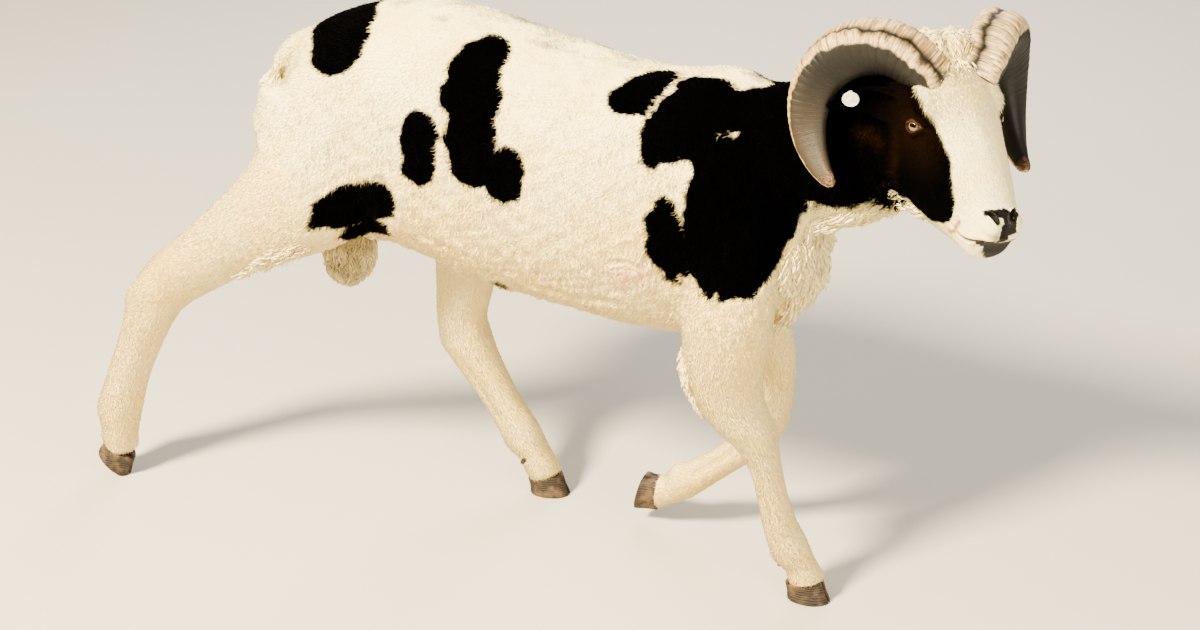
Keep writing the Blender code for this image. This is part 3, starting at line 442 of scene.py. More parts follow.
def skullShape():
    table = catmullRows(skinSet["skull"], 8)
    return ovalBody(table[:, :4], 64, [2.3] * len(table), table[:, 4])


def limbShape(rows, sides=40, perSpan=6):
    table = catmullRows(rows, perSpan)
    centres = table[:, :3]
    along = unit(np.gradient(centres, axis=0))
    across = unit(np.array([0.0, 1.0, 0.0]) - along * along[:, 1:2])
    forward = np.cross(across, along)
    turn = turns(sides)
    return closedTube(centres[:, None] + forward[:, None] * (table[:, 3, None] * np.cos(turn))[..., None]
                      + across[:, None] * (table[:, 4, None] * np.sin(turn))[..., None])


def ballShape(centre, radii, turnY=0.0, sides=40, rows=24):
    polar = np.linspace(0.02, math.pi - 0.02, rows)
    turn = turns(sides)
    rings = np.stack([np.sin(polar)[:, None] * np.cos(turn), np.sin(polar)[:, None] * np.sin(turn),
                      np.repeat(np.cos(polar)[:, None], sides, axis=1)], axis=-1) * np.array(radii)
    angle = math.radians(turnY)
    spin = np.array([[math.cos(angle), 0, math.sin(angle)], [0, 1, 0], [-math.sin(angle), 0, math.cos(angle)]])
    return closedTube(rings @ spin.T + np.array(centre))


def earFrame(side):
    lie = unit(np.array(earSet["lies"][side]))
    mouth = np.array(earSet["mouth"]) * (1, side, 1)
    mouth = unit(mouth - lie * (mouth @ lie))
    return lie, mouth, np.cross(lie, mouth)


def earLine(side, share):
    # the middle of the ear from its root to its tip, with the droop
    lie = earFrame(side)[0]
    return (np.array(earSet["root"]) * (1, side, 1) + lie * (earSet["length"] * share)[:, None]
            + np.outer(share ** 2, (0, 0, -earSet["droop"])))


def earSection(share):
    # half the angle that the sheet is rolled through, and the radius of its bend
    half = 0.5 * earSet["width"] * (0.62 + 0.38 * np.sin(math.pi * np.minimum(1.0, share * 1.35)))
    half = half * np.sqrt(np.maximum(0.0, 1.0 - np.maximum(0.0, (share - 0.42) / 0.60) ** 2.2))
    opening = np.radians(125 - 78 * np.minimum(1.0, share * 1.5))
    return opening, half / np.maximum(0.35, np.sin(np.minimum(opening, math.pi / 2)))


def earShape(side, rows=36, columns=25):
    # a leaf that is rolled at its root and opens to a shallow cup, as a closed thick sheet
    _, mouth, edge = earFrame(side)
    share = np.linspace(0, 1, rows)
    opening, bend = earSection(share)
    angle = opening[:, None] * np.linspace(-1, 1, columns)
    sheet = (earLine(side, share)[:, None] + edge * (bend[:, None] * np.sin(angle))[..., None]
             - mouth * (bend[:, None] * (np.cos(angle) - 0.4))[..., None])
    normal = unit(mouth * np.cos(angle)[..., None] - edge * np.sin(angle)[..., None])
    rim = np.sqrt(np.clip(1.0 - np.abs(np.linspace(-1, 1, columns)) ** 6, 0.05, 1.0))
    thick = 0.5 * earSet["thickness"] * rim[None, :, None] * np.ones((rows, 1, 1))
    return closedTube(np.concatenate([sheet + normal * thick, (sheet - normal * thick)[:, ::-1]], axis=1))


def mirroredShape(shape):
    points, triangles = shape
    return points * (1, -1, 1), triangles[:, ::-1]


def makeSkinSource():
    shapes = [trunkShape()] + [limbShape(skinSet[name]) for name in loftNames]
    for centre, radii, turn in skinSet["masses"]:
        ball = ballShape(centre, radii, turn)
        shapes += [ball, mirroredShape(ball)] if centre[1] else [ball]
    headShapes = [skullShape()]
    bulge = headSet["eyeRadius"] + skinSet["lidThickness"]
    for centre, radii in skinSet["headMasses"] + [(headSet["eye"], (bulge,) * 3)]:
        ball = ballShape(centre, radii)
        headShapes += [ball, mirroredShape(ball)]
    headShapes += [earShape(1), earShape(-1)]
    shapes = [(points + floorShift, triangles) for points, triangles in shapes]
    shapes += [(fromHead(points), triangles) for points, triangles in headShapes]
    return meshFromArrays("skin", *joinShapes(shapes))


def smoothMesh(points, edges, rounds, strength):
    # simple smoothing with its own strength at each vertex
    first, second = edges[:, 0], edges[:, 1]
    count = len(points)
    ways = np.bincount(first, minlength=count) + np.bincount(second, minlength=count)
    for _ in range(rounds):
        total = np.stack([np.bincount(first, points[second, axis], count)
                          + np.bincount(second, points[first, axis], count) for axis in range(3)], axis=1)
        points = points + (total / ways[:, None] - points) * strength[:, None]
    return points


# where each region lies: a line through it and its girth, used for smoothing, coat and markings
def makeGuides():
    trunk = catmullRows(skinSet["trunk"], 3)
    middle = np.stack([trunk[:, 0], np.zeros(len(trunk)), 0.5 * (trunk[:, 1] + trunk[:, 2])], axis=1)
    guides = {"trunk": (middle + floorShift, 0.5 * (trunk[:, 3] + 0.5 * (trunk[:, 1] - trunk[:, 2])))}
    for name in loftNames:  # the first rows are inside the trunk
        table = catmullRows(skinSet[name][1 if name == "tail" else 2:], 4)
        guides[name] = (table[:, :3] + floorShift, 0.5 * (table[:, 3] + table[:, 4]))
    along = np.linspace(-0.01, 0.235, 24)
    skull = catmullRows(skinSet["skull"], 4)
    top, jaw, half = (np.interp(along, skull[:, 0], skull[:, column]) for column in (1, 2, 3))
    line = np.stack([along, np.zeros(24), 0.5 * (top + jaw)], axis=1)
    guides["head"] = (fromHead(line), 0.5 * (half + 0.5 * (top - jaw)))
    for side, name in ((1, "earLeft"), (-1, "earRight")):
        guides[name] = (fromHead(earLine(side, np.linspace(0.12, 1.0, 14))), np.full(14, 0.014))
    return guides


guides = makeGuides()


def regionShares(points, sharpness=9.0):
    # how much each region holds a point, and which way the limb runs there
    ratios, flows = [], []
    for line, girth in guides.values():
        best = np.full(len(points), 1e9)
        flow = np.zeros((len(points), 3))
        for place, radius, heading in zip(line, girth, unit(np.gradient(line, axis=0))):
            ratio = np.linalg.norm(points - place, axis=1) / radius
            nearer = ratio < best
            best[nearer] = ratio[nearer]
            flow[nearer] = heading
        ratios.append(best)
        flows.append(flow)
    ratios = np.array(ratios)
    shares = np.exp(-sharpness * (ratios - ratios.min(axis=0)))
    shares /= shares.sum(axis=0)
    shares = dict(zip(guides, shares))
    shares["limbs"] = sum(shares[name] for name in limbNames)
    shares["ears"] = shares["earLeft"] + shares["earRight"]
    return shares, dict(zip(guides, flows))


def onGuide(points, name):
    # the nearest step of a region's line, the offset from it, the line's heading there and the share of the way along
    line = guides[name][0]
    best = np.argmin(np.linalg.norm(points[:, None] - line[None], axis=2), axis=1)
    heading = unit(np.gradient(line, axis=0))[best]
    off = points - line[best]
    return off, heading, best + dots(off, heading) / np.linalg.norm(line[1] - line[0])


def footAxes(name):
    sole, heading, pitch = feetSet[name]
    turn, drop = math.radians(heading), math.radians(pitch)
    toe = np.array([math.cos(turn) * math.cos(drop), math.sin(turn) * math.cos(drop), -math.sin(drop)])
    left = np.array([-math.sin(turn), math.cos(turn), 0.0])
    return np.array(sole) + floorShift, toe, left, np.cross(toe, left)


clawRise = (clawSet["front"] - clawSet["heel"]) / clawSet["length"]


def coronetPlane(name):
    sole, toe, _, up = footAxes(name)
    return sole + up * (clawSet["heel"] + clawRise * clawSet["back"] * clawSet["length"]), unit(up - toe * clawRise)


# relief of the limbs and folds of the skin; heights along each limb are shares of its line
reliefSet = {
    # limb: where the shank starts and ends, the joint above it
    "shanks": {"foreRight": (0.38, 0.64), "foreLeft": (0.38, 0.65), "hindRight": (0.46, 0.64),
               "hindLeft": (0.41, 0.64)},
    "tendonTurn": 112.0,  # degrees round the limb from its front to the groove before the tendons
    "tendonWidth": 17.0,
    "tendonDepth": 0.003,
    "jointRise": 0.0022,
    "hockRise": 0.005,  # the point of the hock
    "fetlockRise": 0.003,
    "pasternDip": 0.0016,
    "uneven": ((0.0012, 0.035, 31), (0.0007, 0.014, 32)),  # of the trunk: height, size of the waves, seed
    # folds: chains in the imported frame, radius is the fold's half width, then its depth
    "folds": [
        ([(0.205, -0.112, 0.488, 0.004), (0.192, -0.112, 0.466, 0.004), (0.188, -0.108, 0.44, 0.004)], 0.003),
        ([(0.15, -0.112, 0.466, 0.003), (0.172, -0.112, 0.47, 0.003), (0.196, -0.112, 0.462, 0.003)], 0.002),
        ([(0.148, -0.11, 0.456, 0.002), (0.168, -0.11, 0.461, 0.002), (0.186, -0.109, 0.456, 0.002)], 0.0014),
        ([(-0.165, -0.105, 0.468, 0.007), (-0.11, -0.105, 0.446, 0.008), (-0.045, -0.108, 0.428, 0.006)], 0.0045),
        ([(-0.168, -0.108, 0.52, 0.008), (-0.158, -0.11, 0.49, 0.007), (-0.17, -0.1, 0.46, 0.005)], 0.0045),
        ([(0.02, -0.1, 0.405, 0.006), (0.09, -0.095, 0.4, 0.006), (0.16, -0.09, 0.408, 0.005)], 0.003),
    ],
}


def bodyRelief(points, shares):
    rise = np.zeros(len(points))
    for name, (start, end) in reliefSet["shanks"].items():
        near = np.flatnonzero(shares[name] > 0.3)
        off, heading, step = onGuide(points[near], name)
        share = step / (len(guides[name][0]) - 1)
        across = unit(np.array([0.0, 1.0, 0.0]) - heading * heading[:, 1:2])
        turn = np.degrees(np.arctan2(np.abs(dots(off, across)), -dots(off, np.cross(across, heading))))
        shank = smoothStep(start - 0.04, start + 0.05, share) * smoothStep(end + 0.04, end - 0.04, share)
        local = -reliefSet["tendonDepth"] * bell(turn, reliefSet["tendonTurn"], reliefSet["tendonWidth"]) * shank
        joint = reliefSet["jointRise"] * bell(share - start, -0.05, 0.05)
        local += joint * (bell(turn, 40, 22) - 0.7 * bell(turn, 85, 20))
        if name.startswith("hind"):
            local += reliefSet["hockRise"] * bell(share - start, -0.05, 0.035) * smoothStep(135, 170, turn)
        local += reliefSet["fetlockRise"] * bell(share - end, 0.07, 0.035) * smoothStep(120, 165, turn)
        local -= reliefSet["pasternDip"] * bell(share - end, 0.14, 0.030) * smoothStep(40, 120, turn)
        rise[near] += local * smoothStep(0.3, 0.7, shares[name][near])
    for chain, depth in reliefSet["folds"]:
        off = chainDistance(points, [(x, y, z, 0.0) for x, y, z, _ in chain]) / chain[0][3]
        rise += depth * (0.35 * bell(off, 2.2, 0.9) - bell(off, 0, 1))  # a groove with a lip on each side
    trunk = shares["trunk"] * smoothStep(0.70, 0.60, points[:, 2])
    first, second = (trunk * height * waveNoise(points, size, seed) for height, size, seed in reliefSet["uneven"])
    return rise + (first + second)


def makeSkin():
    skin = makeSkinSource()
    remesh = skin.modifiers.new("fuse", "REMESH")
    remesh.mode = "VOXEL"
    remesh.voxel_size = skinSet["voxel"]
    bakeModifiers(skin)
    report(f"skin fused, {len(skin.data.vertices)} vertices")
    points, edges = readVectors(skin), readEdges(skin)
    shares, _ = regionShares(points)
    fine = shares["head"] + shares["earLeft"] + shares["earRight"]
    limb = shares["limbs"]
    points = smoothMesh(points, edges, skinSet["headSmoothing"], np.full(len(points), 0.5) * (1 - 0.5 * fine))
    calm = smoothStep(0.0, 0.5, 1.0 - fine - 0.75 * limb)
    points = smoothMesh(points, edges, skinSet["bodySmoothing"], 0.6 * calm)
    for name in feetSet:  # cut level at the coronet
        place, normal = coronetPlane(name)
        below = (points - place) @ normal + 0.0008
        near = (distances(points, place) < 0.06) & (below < 0)
        points[near] -= below[near, None] * normal
    writePoints(skin, points)
    points = points + readVectors(skin, "normal") * bodyRelief(points, shares)[:, None]
    writePoints(skin, points)
    depth = (skinSet["fleeceDepth"] * (1 - fine - limb) + skinSet["legDepth"] * limb + skinSet["faceDepth"] * fine)
    writePoints(skin, points - readVectors(skin, "normal") * depth[:, None])
    thin = skin.modifiers.new("thin", "DECIMATE")
    thin.ratio = skinSet["triangles"] / (len(skin.data.polygons) * 2)
    thin.use_collapse_triangulate = True
    bakeModifiers(skin)
    report(f"skin thinned, {len(skin.data.polygons)} triangles")
    return skin


# the face: lids, tear line, lips, nostrils and folds, in the head's frame
faceSet = {
    "lidTurn": 50.0,  # degrees, slant of the eye's long axis
    "opening": (0.9, 0.4),  # half angles of the lids' opening, radians
    "lidRim": 0.0007,
    "mouth": [(0.275, -0.0255), (0.248, -0.0315), (0.241, -0.038), (0.234, -0.047), (0.225, -0.055),
              (0.215, -0.059), (0.204, -0.061)],
    "mouthDepth": 0.0028,
    "mouthHalf": 0.0012,
    "lipRecess": 0.003,  # how far the lower lip stands back
    "nostril": (0.2265, 0.014, -0.0095),
    "nostrilLie": (-0.85, 0.52, 0.0),  # along the slit
    "nostrilFace": (0.35, 0.3, 0.88),  # out of the nostril
    "nostrilRadii": (0.0098, 0.0031, 0.011),
    "nostrilDepth": 0.0058,
    "philtrumDepth": 0.0012,
    "crease": ((0.2105, -0.042), (0.214, -0.068)),  # fold at the corner of the mouth
    "boneRise": 0.0016,  # bone below the eye; heights and depths in metres
    "tearDepth": 0.0018,
    "bridgeRise": 0.0022,
    "lipRises": (0.001, 0.0009),  # upper and lower lip
    "nostrilRim": 0.0006,
    "creaseDepth": 0.0016,
    "lidFolds": (0.0011, 0.0006),  # above and below the eye
    "headBox": ((-0.03, 0.27), 0.085, (-0.19, 9.0)),  # from and to along x, half width, from and to along z
}


def eyeFrame(side):
    middle = np.array(headSet["eye"]) * (1, side, 1)
    gaze = unit(np.array(headSet["gaze"])) * (1, side, 1)
    angle = math.radians(faceSet["lidTurn"])
    lengthwise = np.array([math.cos(angle), 0.0, math.sin(angle)])
    lengthwise = unit(lengthwise - gaze * (lengthwise @ gaze))
    heightwise = np.cross(lengthwise, gaze) * side
    return middle, gaze, lengthwise, heightwise


def lidShare(local, side):
    # below 1 inside the lids' opening; also gives the distance from the eye's middle and the place along and up
    middle, gaze, lengthwise, heightwise = eyeFrame(side)
    away = local - middle
    reach = np.linalg.norm(away, axis=1)
    ahead = away @ gaze
    alpha = np.arctan2(away @ lengthwise, np.maximum(ahead, 1e-4))
    beta = np.arctan2(away @ heightwise, np.maximum(ahead, 1e-4))
    halfLong, halfHigh = faceSet["opening"]
    along = alpha / halfLong
    high = beta / (halfHigh * (1.0 - 0.35 * np.minimum(np.abs(along), 1.4)))
    share = np.sqrt(along ** 2 + high ** 2)
    share[ahead <= 0] = 9.0
    return share, reach, along, high, away


def mouthDistance(local):
    # signed distance from the line of the mouth in the side view, positive above
    line = catmullRows(faceSet["mouth"], 4)
    best = np.full(len(local), 1e9)
    signed = np.zeros(len(local))
    for (x0, z0), (x1, z1) in zip(line[:-1], line[1:]):
        dx, dz = x1 - x0, z1 - z0
        length = math.hypot(dx, dz)
        t = np.clip(((local[:, 0] - x0) * dx + (local[:, 2] - z0) * dz) / length ** 2, 0, 1)
        offX, offZ = local[:, 0] - x0 - t * dx, local[:, 2] - z0 - t * dz
        distance = np.hypot(offX, offZ)
        nearer = distance < best
        best[nearer] = distance[nearer]
        signed[nearer] = np.sign(dx * offZ - dz * offX)[nearer] * distance[nearer]
    return -signed  # the line runs back from the lips, so left of it is below


def nostrilShare(local, side):
    # below 1 inside the nostril, a bent slit that runs from the inner front to the outer back
    away = local - np.array(faceSet["nostril"]) * (1, side, 1)
    slit = unit(np.array(faceSet["nostrilLie"])) * (1, side, 1)
    out = unit(np.array(faceSet["nostrilFace"])) * (1, side, 1)
    out = unit(out - slit * (out @ slit))
    across = np.cross(out, slit) * side
    halfLong, halfWide, deep = faceSet["nostrilRadii"]
    along, wide, away = away @ slit / halfLong, away @ across, away @ out
    wide = wide + 0.0022 * along ** 2 - 0.0008
    return np.sqrt(along ** 2 + (wide / (halfWide * (1.0 - 0.25 * along))) ** 2 + (away / deep) ** 2)


def inHeadBox(local, xRange, halfY, zRange):
    x, y, z = local.T
    return (x > xRange[0]) & (x < xRange[1]) & (np.abs(y) < halfY) & (z > zRange[0]) & (z < zRange[1])


def nearFace(points, reachEye, fromMuzzle, whole):
    local = toHead(points)
    near = inHeadBox(local, (fromMuzzle, 0.30), 0.05, (-0.12, 0.03))
    for side in (1, -1):
        near |= np.linalg.norm(local - eyeFrame(side)[0], axis=1) < reachEye
    return near | inHeadBox(local, *faceSet["headBox"]) if whole else near


def refineFace(skin):
    # finer towards the eyes, the nose and the lips: longest edge, reach round the eye, start of the muzzle, whole head
    steps = ((0.0042, 0.040, 0.190, True), (0.0024, 0.027, 0.198, False), (0.0014, 0.021, 0.204, False),
             (0.0010, 0.0190, 0.2150, False))
    splitLongEdges(skin, [(longest, lambda points, step=step: nearFace(points, *step)) for longest, *step in steps])
    points = readVectors(skin)
    head = inHeadBox(toHead(points), *faceSet["headBox"])
    writePoints(skin, smoothMesh(points, readEdges(skin), 2, 0.5 * head))
    report(f"face made finer, {len(skin.data.polygons)} triangles")


def shapeFace(skin):
    points = readVectors(skin)
    local = toHead(points)
    turned = readVectors(skin, "normal") @ headTurn.T
    rise = np.zeros(len(points))
    x, y, z = local.T
    inHead = smoothStep(-0.02, 0.02, x) * smoothStep(-0.20, -0.17, z) * (np.abs(y) < 0.09)
    # bone that runs from below the eye, tear line in front of the eye, bridge of the nose
    crest = bell(z + 0.052 + 0.10 * (x - 0.10), 0, 0.006) * smoothStep(0.10, 0.13, x) * smoothStep(0.20, 0.16, x)
    rise += faceSet["boneRise"] * crest * inHead
    tear = bell(z + 0.030 + 0.55 * (x - 0.108), 0, 0.0032) * smoothStep(0.102, 0.108, x) * smoothStep(0.135, 0.115, x)
    rise -= faceSet["tearDepth"] * tear * inHead * (np.abs(y) > 0.030)
    bridge = np.exp(-((x - 0.12) / 0.05) ** 2 - (np.abs(y) / 0.010) ** 2)
    rise += faceSet["bridgeRise"] * bridge * (z > -0.03) * inHead
    # mouth, upper lip and lower lip
    gap = mouthDistance(local)
    atMouth = smoothStep(0.190, 0.206, x) * (np.abs(y) < 0.05) * (z < -0.015) * (z > -0.12)
    rise -= faceSet["mouthDepth"] * bell(gap, 0, faceSet["mouthHalf"]) * atMouth * smoothStep(0.2115, 0.2165, x)
    upper, lower = faceSet["lipRises"]
    rise += upper * bell(gap, 0.0045, 0.0030) * atMouth
    rise += lower * bell(gap, -0.0040, 0.0026) * atMouth
    for side in (1, -1):
        slit = nostrilShare(local, side)
        rise -= faceSet["nostrilDepth"] * smoothStep(1.12, 0.45, slit)
        rise += faceSet["nostrilRim"] * bell(slit, 1.40, 0.22)
    snout = smoothStep(0.225, 0.238, x) * (gap > 0)
    rise -= faceSet["philtrumDepth"] * bell(y, 0, 0.0013) * snout * smoothStep(-0.012, -0.020, z)
    # fold at the corner of the mouth
    (foldX, foldZ), (endX, endZ) = faceSet["crease"]
    run = np.array([endX - foldX, endZ - foldZ])
    t = np.clip(((x - foldX) * run[0] + (z - foldZ) * run[1]) / (run @ run), 0, 1)
    fold = bell(np.hypot(x - foldX - t * run[0], z - foldZ - t * run[1]), 0, 0.0020) * (np.abs(y) > 0.02) * inHead
    rise -= faceSet["creaseDepth"] * fold * smoothStep(0.0, 0.35, t)
    local = local + turned * rise[:, None]
    recess = bell(gap, -0.009, 0.0085) * smoothStep(0.236, 0.246, x) * atMouth * (gap < 0)
    local[:, 0] -= faceSet["lipRecess"] * recess * smoothStep(0.0, -0.0025, gap)
    # lids: inside the opening the skin drops behind the eye, outside it wraps the eye
    ball = headSet["eyeRadius"]
    for side in (1, -1):
        share, reach, _, high, away = lidShare(local, side)
        lid = ball + 0.0014 + skinSet["lidThickness"] * 0.6 * smoothStep(1.0, 1.9, share)
        lid += faceSet["lidRim"] * bell(share, 1.12, 0.10)
        lid -= faceSet["lidFolds"][0] * bell(share, 1.62, 0.13) * smoothStep(-0.2, 0.5, high)
        lid -= faceSet["lidFolds"][1] * bell(share, 1.72, 0.14) * smoothStep(0.2, -0.5, high)
        target = ball - 0.0022 + (lid - ball + 0.0022) * smoothStep(0.93, 1.04, share)
        hold = smoothStep(2.5, 1.75, share) * (reach < 0.030)
        local = local + unit(away) * ((target - reach) * hold)[:, None]
    writePoints(skin, fromHead(local))


# the markings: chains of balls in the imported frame, from place and radius to place and radius
marksSet = {
    "blackRight": [
        [(-0.252, -0.048, 0.687, 0.047), (-0.262, -0.018, 0.706, 0.052), (-0.277, 0.012, 0.714, 0.053),
         (-0.268, 0.045, 0.716, 0.042)],  # rump
        [(-0.04, -0.036, 0.702, 0.028), (-0.048, -0.052, 0.69, 0.032), (-0.05, -0.07, 0.67, 0.038),
         (-0.048, -0.084, 0.652, 0.042), (-0.043, -0.1, 0.617, 0.036), (-0.038, -0.108, 0.588, 0.035),
         (-0.036, -0.11, 0.572, 0.034)],
        [(0.008, -0.111, 0.571, 0.027), (0.008, -0.114, 0.551, 0.028)],
        [(-0.111, -0.104, 0.603, 0.026), (-0.112, -0.11, 0.556, 0.026)],
        [(-0.266, -0.114, 0.456, 0.009), (-0.238, -0.106, 0.474, 0.027), (-0.209, -0.1, 0.486, 0.034),
         (-0.176, -0.103, 0.497, 0.028)],  # stifle
        [(-0.19, -0.08, 0.452, 0.022), (-0.225, -0.075, 0.44, 0.02)],
        [(0.148, -0.042, 0.66, 0.028), (0.176, -0.002, 0.677, 0.03)],
        [(0.203, -0.08, 0.614, 0.028), (0.205, -0.061, 0.639, 0.033), (0.224, -0.034, 0.665, 0.037),
         (0.235, -0.012, 0.679, 0.033)],  # shoulder top
        [(0.24, -0.064, 0.636, 0.036), (0.262, -0.042, 0.658, 0.046)],
        [(0.217, -0.102, 0.546, 0.015), (0.217, -0.105, 0.525, 0.023), (0.224, -0.105, 0.493, 0.027),
         (0.234, -0.102, 0.467, 0.02)],  # behind the elbow
        [(0.297, -0.095, 0.61, 0.056), (0.294, -0.105, 0.56, 0.053), (0.292, -0.105, 0.49, 0.053),
         (0.312, -0.095, 0.49, 0.048), (0.34, -0.06, 0.545, 0.048)],
        [(0.3, -0.07, 0.64, 0.072), (0.36, -0.03, 0.64, 0.085)],
    ],
    "blackLeft": [
        [(-0.305, 0.105, 0.655, 0.03), (-0.292, 0.128, 0.625, 0.036), (-0.262, 0.145, 0.59, 0.026)],
        [(-0.165, 0.118, 0.668, 0.03), (-0.15, 0.145, 0.63, 0.044), (-0.142, 0.165, 0.578, 0.046),
         (-0.12, 0.172, 0.54, 0.034), (-0.128, 0.172, 0.508, 0.024)],
        [(-0.036, 0.112, 0.672, 0.026), (-0.01, 0.14, 0.64, 0.038), (0.022, 0.158, 0.612, 0.026)],
        [(0.006, 0.17, 0.548, 0.026), (0.04, 0.172, 0.52, 0.034), (0.052, 0.17, 0.492, 0.02)],
        [(0.232, 0.12, 0.65, 0.042), (0.262, 0.155, 0.58, 0.056), (0.262, 0.165, 0.52, 0.044),
         (0.292, 0.155, 0.482, 0.048), (0.322, 0.13, 0.53, 0.05)],
        [(0.3, 0.12, 0.64, 0.075), (0.36, 0.08, 0.64, 0.085)],
        [(-0.262, 0.14, 0.494, 0.022), (-0.226, 0.158, 0.48, 0.032), (-0.196, 0.165, 0.462, 0.022)],
    ],
    "blackNeck": [
        [(0.35, 0.02, 0.615, 0.085), (0.4, 0.012, 0.635, 0.098), (0.45, 0.0, 0.662, 0.098),
         (0.475, -0.01, 0.69, 0.1)],
    ],
    "whiteOver": [
        [(0.222, 0.036, 0.692, 0.026), (0.262, 0.032, 0.694, 0.03), (0.29, 0.028, 0.687, 0.021)],  # withers
        [(0.352, -0.004, 0.482, 0.03), (0.376, 0.008, 0.492, 0.034), (0.408, 0.012, 0.516, 0.028),
         (0.448, 0.002, 0.538, 0.022), (0.485, -0.02, 0.552, 0.022)],  # throat
        [(0.196, -0.096, 0.578, 0.01), (0.216, -0.091, 0.588, 0.008), (0.232, -0.087, 0.593, 0.006)],
        [(0.231, -0.087, 0.592, 0.006), (0.233, -0.093, 0.573, 0.006), (0.237, -0.097, 0.555, 0.004),
         (0.24, -0.098, 0.545, 0.002)],  # wedge at the shoulder
        [(0.177, -0.055, 0.648, 0.005), (0.182, -0.044, 0.657, 0.0044), (0.189, -0.028, 0.667, 0.004),
         (0.195, -0.01, 0.676, 0.004), (0.197, 0.017, 0.681, 0.005)],  # between two patches
        [(-0.083, -0.097, 0.628, 0.0056), (-0.079, -0.103, 0.607, 0.0054), (-0.077, -0.109, 0.583, 0.0056),
         (-0.074, -0.113, 0.53, 0.007)],  # between two patches
        [(0.262, -0.064, 0.629, 0.0004), (0.276, -0.057, 0.633, 0.0012), (0.288, -0.051, 0.635, 0.0026),
         (0.293, -0.046, 0.639, 0.0014)],  # thin streak
        # notches of the lower edge
        [(0.288, -0.107, 0.436, 0.006), (0.288, -0.107, 0.45, 0.003)],
        [(0.241, -0.099, 0.436, 0.006), (0.239, -0.1, 0.458, 0.003)],
    ],
    # how strong the tints are at most
    "tints": {"brown": 0.6, "dark": 0.9, "pink": 0.9, "bare": 0.7, "lidPink": 0.16, "lidBrown": 0.3, "sunBrown": 0.42},
    "ragged": 0.005,  # how far the edges of the patches wander, metres
    "raggedSize": 0.022,
    "cheekTop": [(-0.04, -0.034), (0.03, -0.038), (0.056, -0.039), (0.078, -0.037), (0.111, -0.036),
                 (0.14, -0.036), (0.171, -0.046), (0.192, -0.058), (0.201, -0.072), (0.206, -0.11)],
    "cheekBottom": [(-0.04, -0.3), (0.05, -0.22), (0.1, -0.162), (0.138, -0.14), (0.177, -0.107),
                    (0.2, -0.069), (0.206, -0.05)],
    # chains in the head's frame
    "brown": [[(0.078, -0.058, -0.07, 0.009), (0.088, -0.055, -0.098, 0.012), (0.1, -0.044, -0.136, 0.012)],
              [(0.036, -0.069, -0.129, 0.01), (0.057, -0.056, -0.121, 0.011)]],
    "nose": [[(0.2215, -0.0175, -0.011, 0.0046), (0.224, -0.01, -0.009, 0.0054),
              (0.224, 0.001, -0.009, 0.0056)],
             [(0.226, 0.004, -0.0095, 0.006), (0.236, 0.006, -0.0115, 0.0068),
              (0.244, 0.0065, -0.017, 0.0066)],
             [(0.226, -0.012, -0.0095, 0.005), (0.234, -0.009, -0.01, 0.0036)],
             [(0.241, 0.001, -0.015, 0.006), (0.246, 0.0, -0.024, 0.0058),
              (0.248, 0.001, -0.033, 0.0062)],
             [(0.235, 0.006, -0.011, 0.005), (0.226, 0.015, -0.009, 0.0046)]],
    "noseWhite": [[(0.2285, -0.003, -0.0088, 0.0006), (0.233, -0.0045, -0.01, 0.0013),
                   (0.24, -0.0085, -0.015, 0.0016)]],
    "lip": [[(0.242, -0.0215, -0.039, 0.005), (0.247, -0.011, -0.04, 0.008), (0.248, 0.001, -0.053, 0.014),
             (0.246, 0.013, -0.068, 0.0125)],
            [(0.244, 0.0215, -0.04, 0.005), (0.246, 0.014, -0.046, 0.011)],
            [(0.244, 0.0, -0.056, 0.012), (0.24, 0.006, -0.074, 0.008)]],
    # painted shade: a grey shadow under the nostril on the upper lip, in the lip's dark colour
    "shadeUnderNostril": [[(0.244, -0.011, -0.02, 0.003), (0.2465, -0.008, -0.029, 0.0046)]],
    "pink": [[(0.211, 0.034, -0.045, 0.0024), (0.214, 0.034, -0.066, 0.0034),
              (0.205, 0.033, -0.078, 0.0024)],
             [(0.234, 0.019, -0.017, 0.003), (0.238, 0.017, -0.024, 0.004)]],
    "bare": [((0.168, -0.109, 0.448), 0.018), ((0.186, -0.107, 0.452), 0.014), ((0.178, 0.165, 0.45), 0.02)],
    "stains": [((-0.292, 0.029, 0.35), 0.04), ((-0.29, 0.029, 0.39), 0.04), ((-0.215, -0.03, 0.425), 0.022)],
    # tuft of the sheath, a spot on the flank
    "dark": [((-0.02, -0.06, 0.398), 0.014), ((0.02, -0.113, 0.462), 0.0055)],
}


def chainDistance(points, chain):
    best = np.full(len(points), 1e9)
    for (x0, y0, z0, r0), (x1, y1, z1, r1) in zip(chain[:-1], chain[1:]):
        start, run = np.array([x0, y0, z0]), np.array([x1 - x0, y1 - y0, z1 - z0])
        t = np.clip((points - start) @ run / max(run @ run, 1e-9), 0, 1)
        distance = np.linalg.norm(points - start - t[:, None] * run, axis=1) - (r0 + (r1 - r0) * t)
        best = np.minimum(best, distance)
    return best


def chainsShare(local, chains, soft, wander=0.0):
    return np.maximum.reduce([smoothStep(soft, -soft, chainDistance(local, chain) + wander) for chain in chains])


def ballsShare(local, balls, soft):
    return np.maximum.reduce([smoothStep(soft, -soft, distances(local, place) - radius) for place, radius in balls])


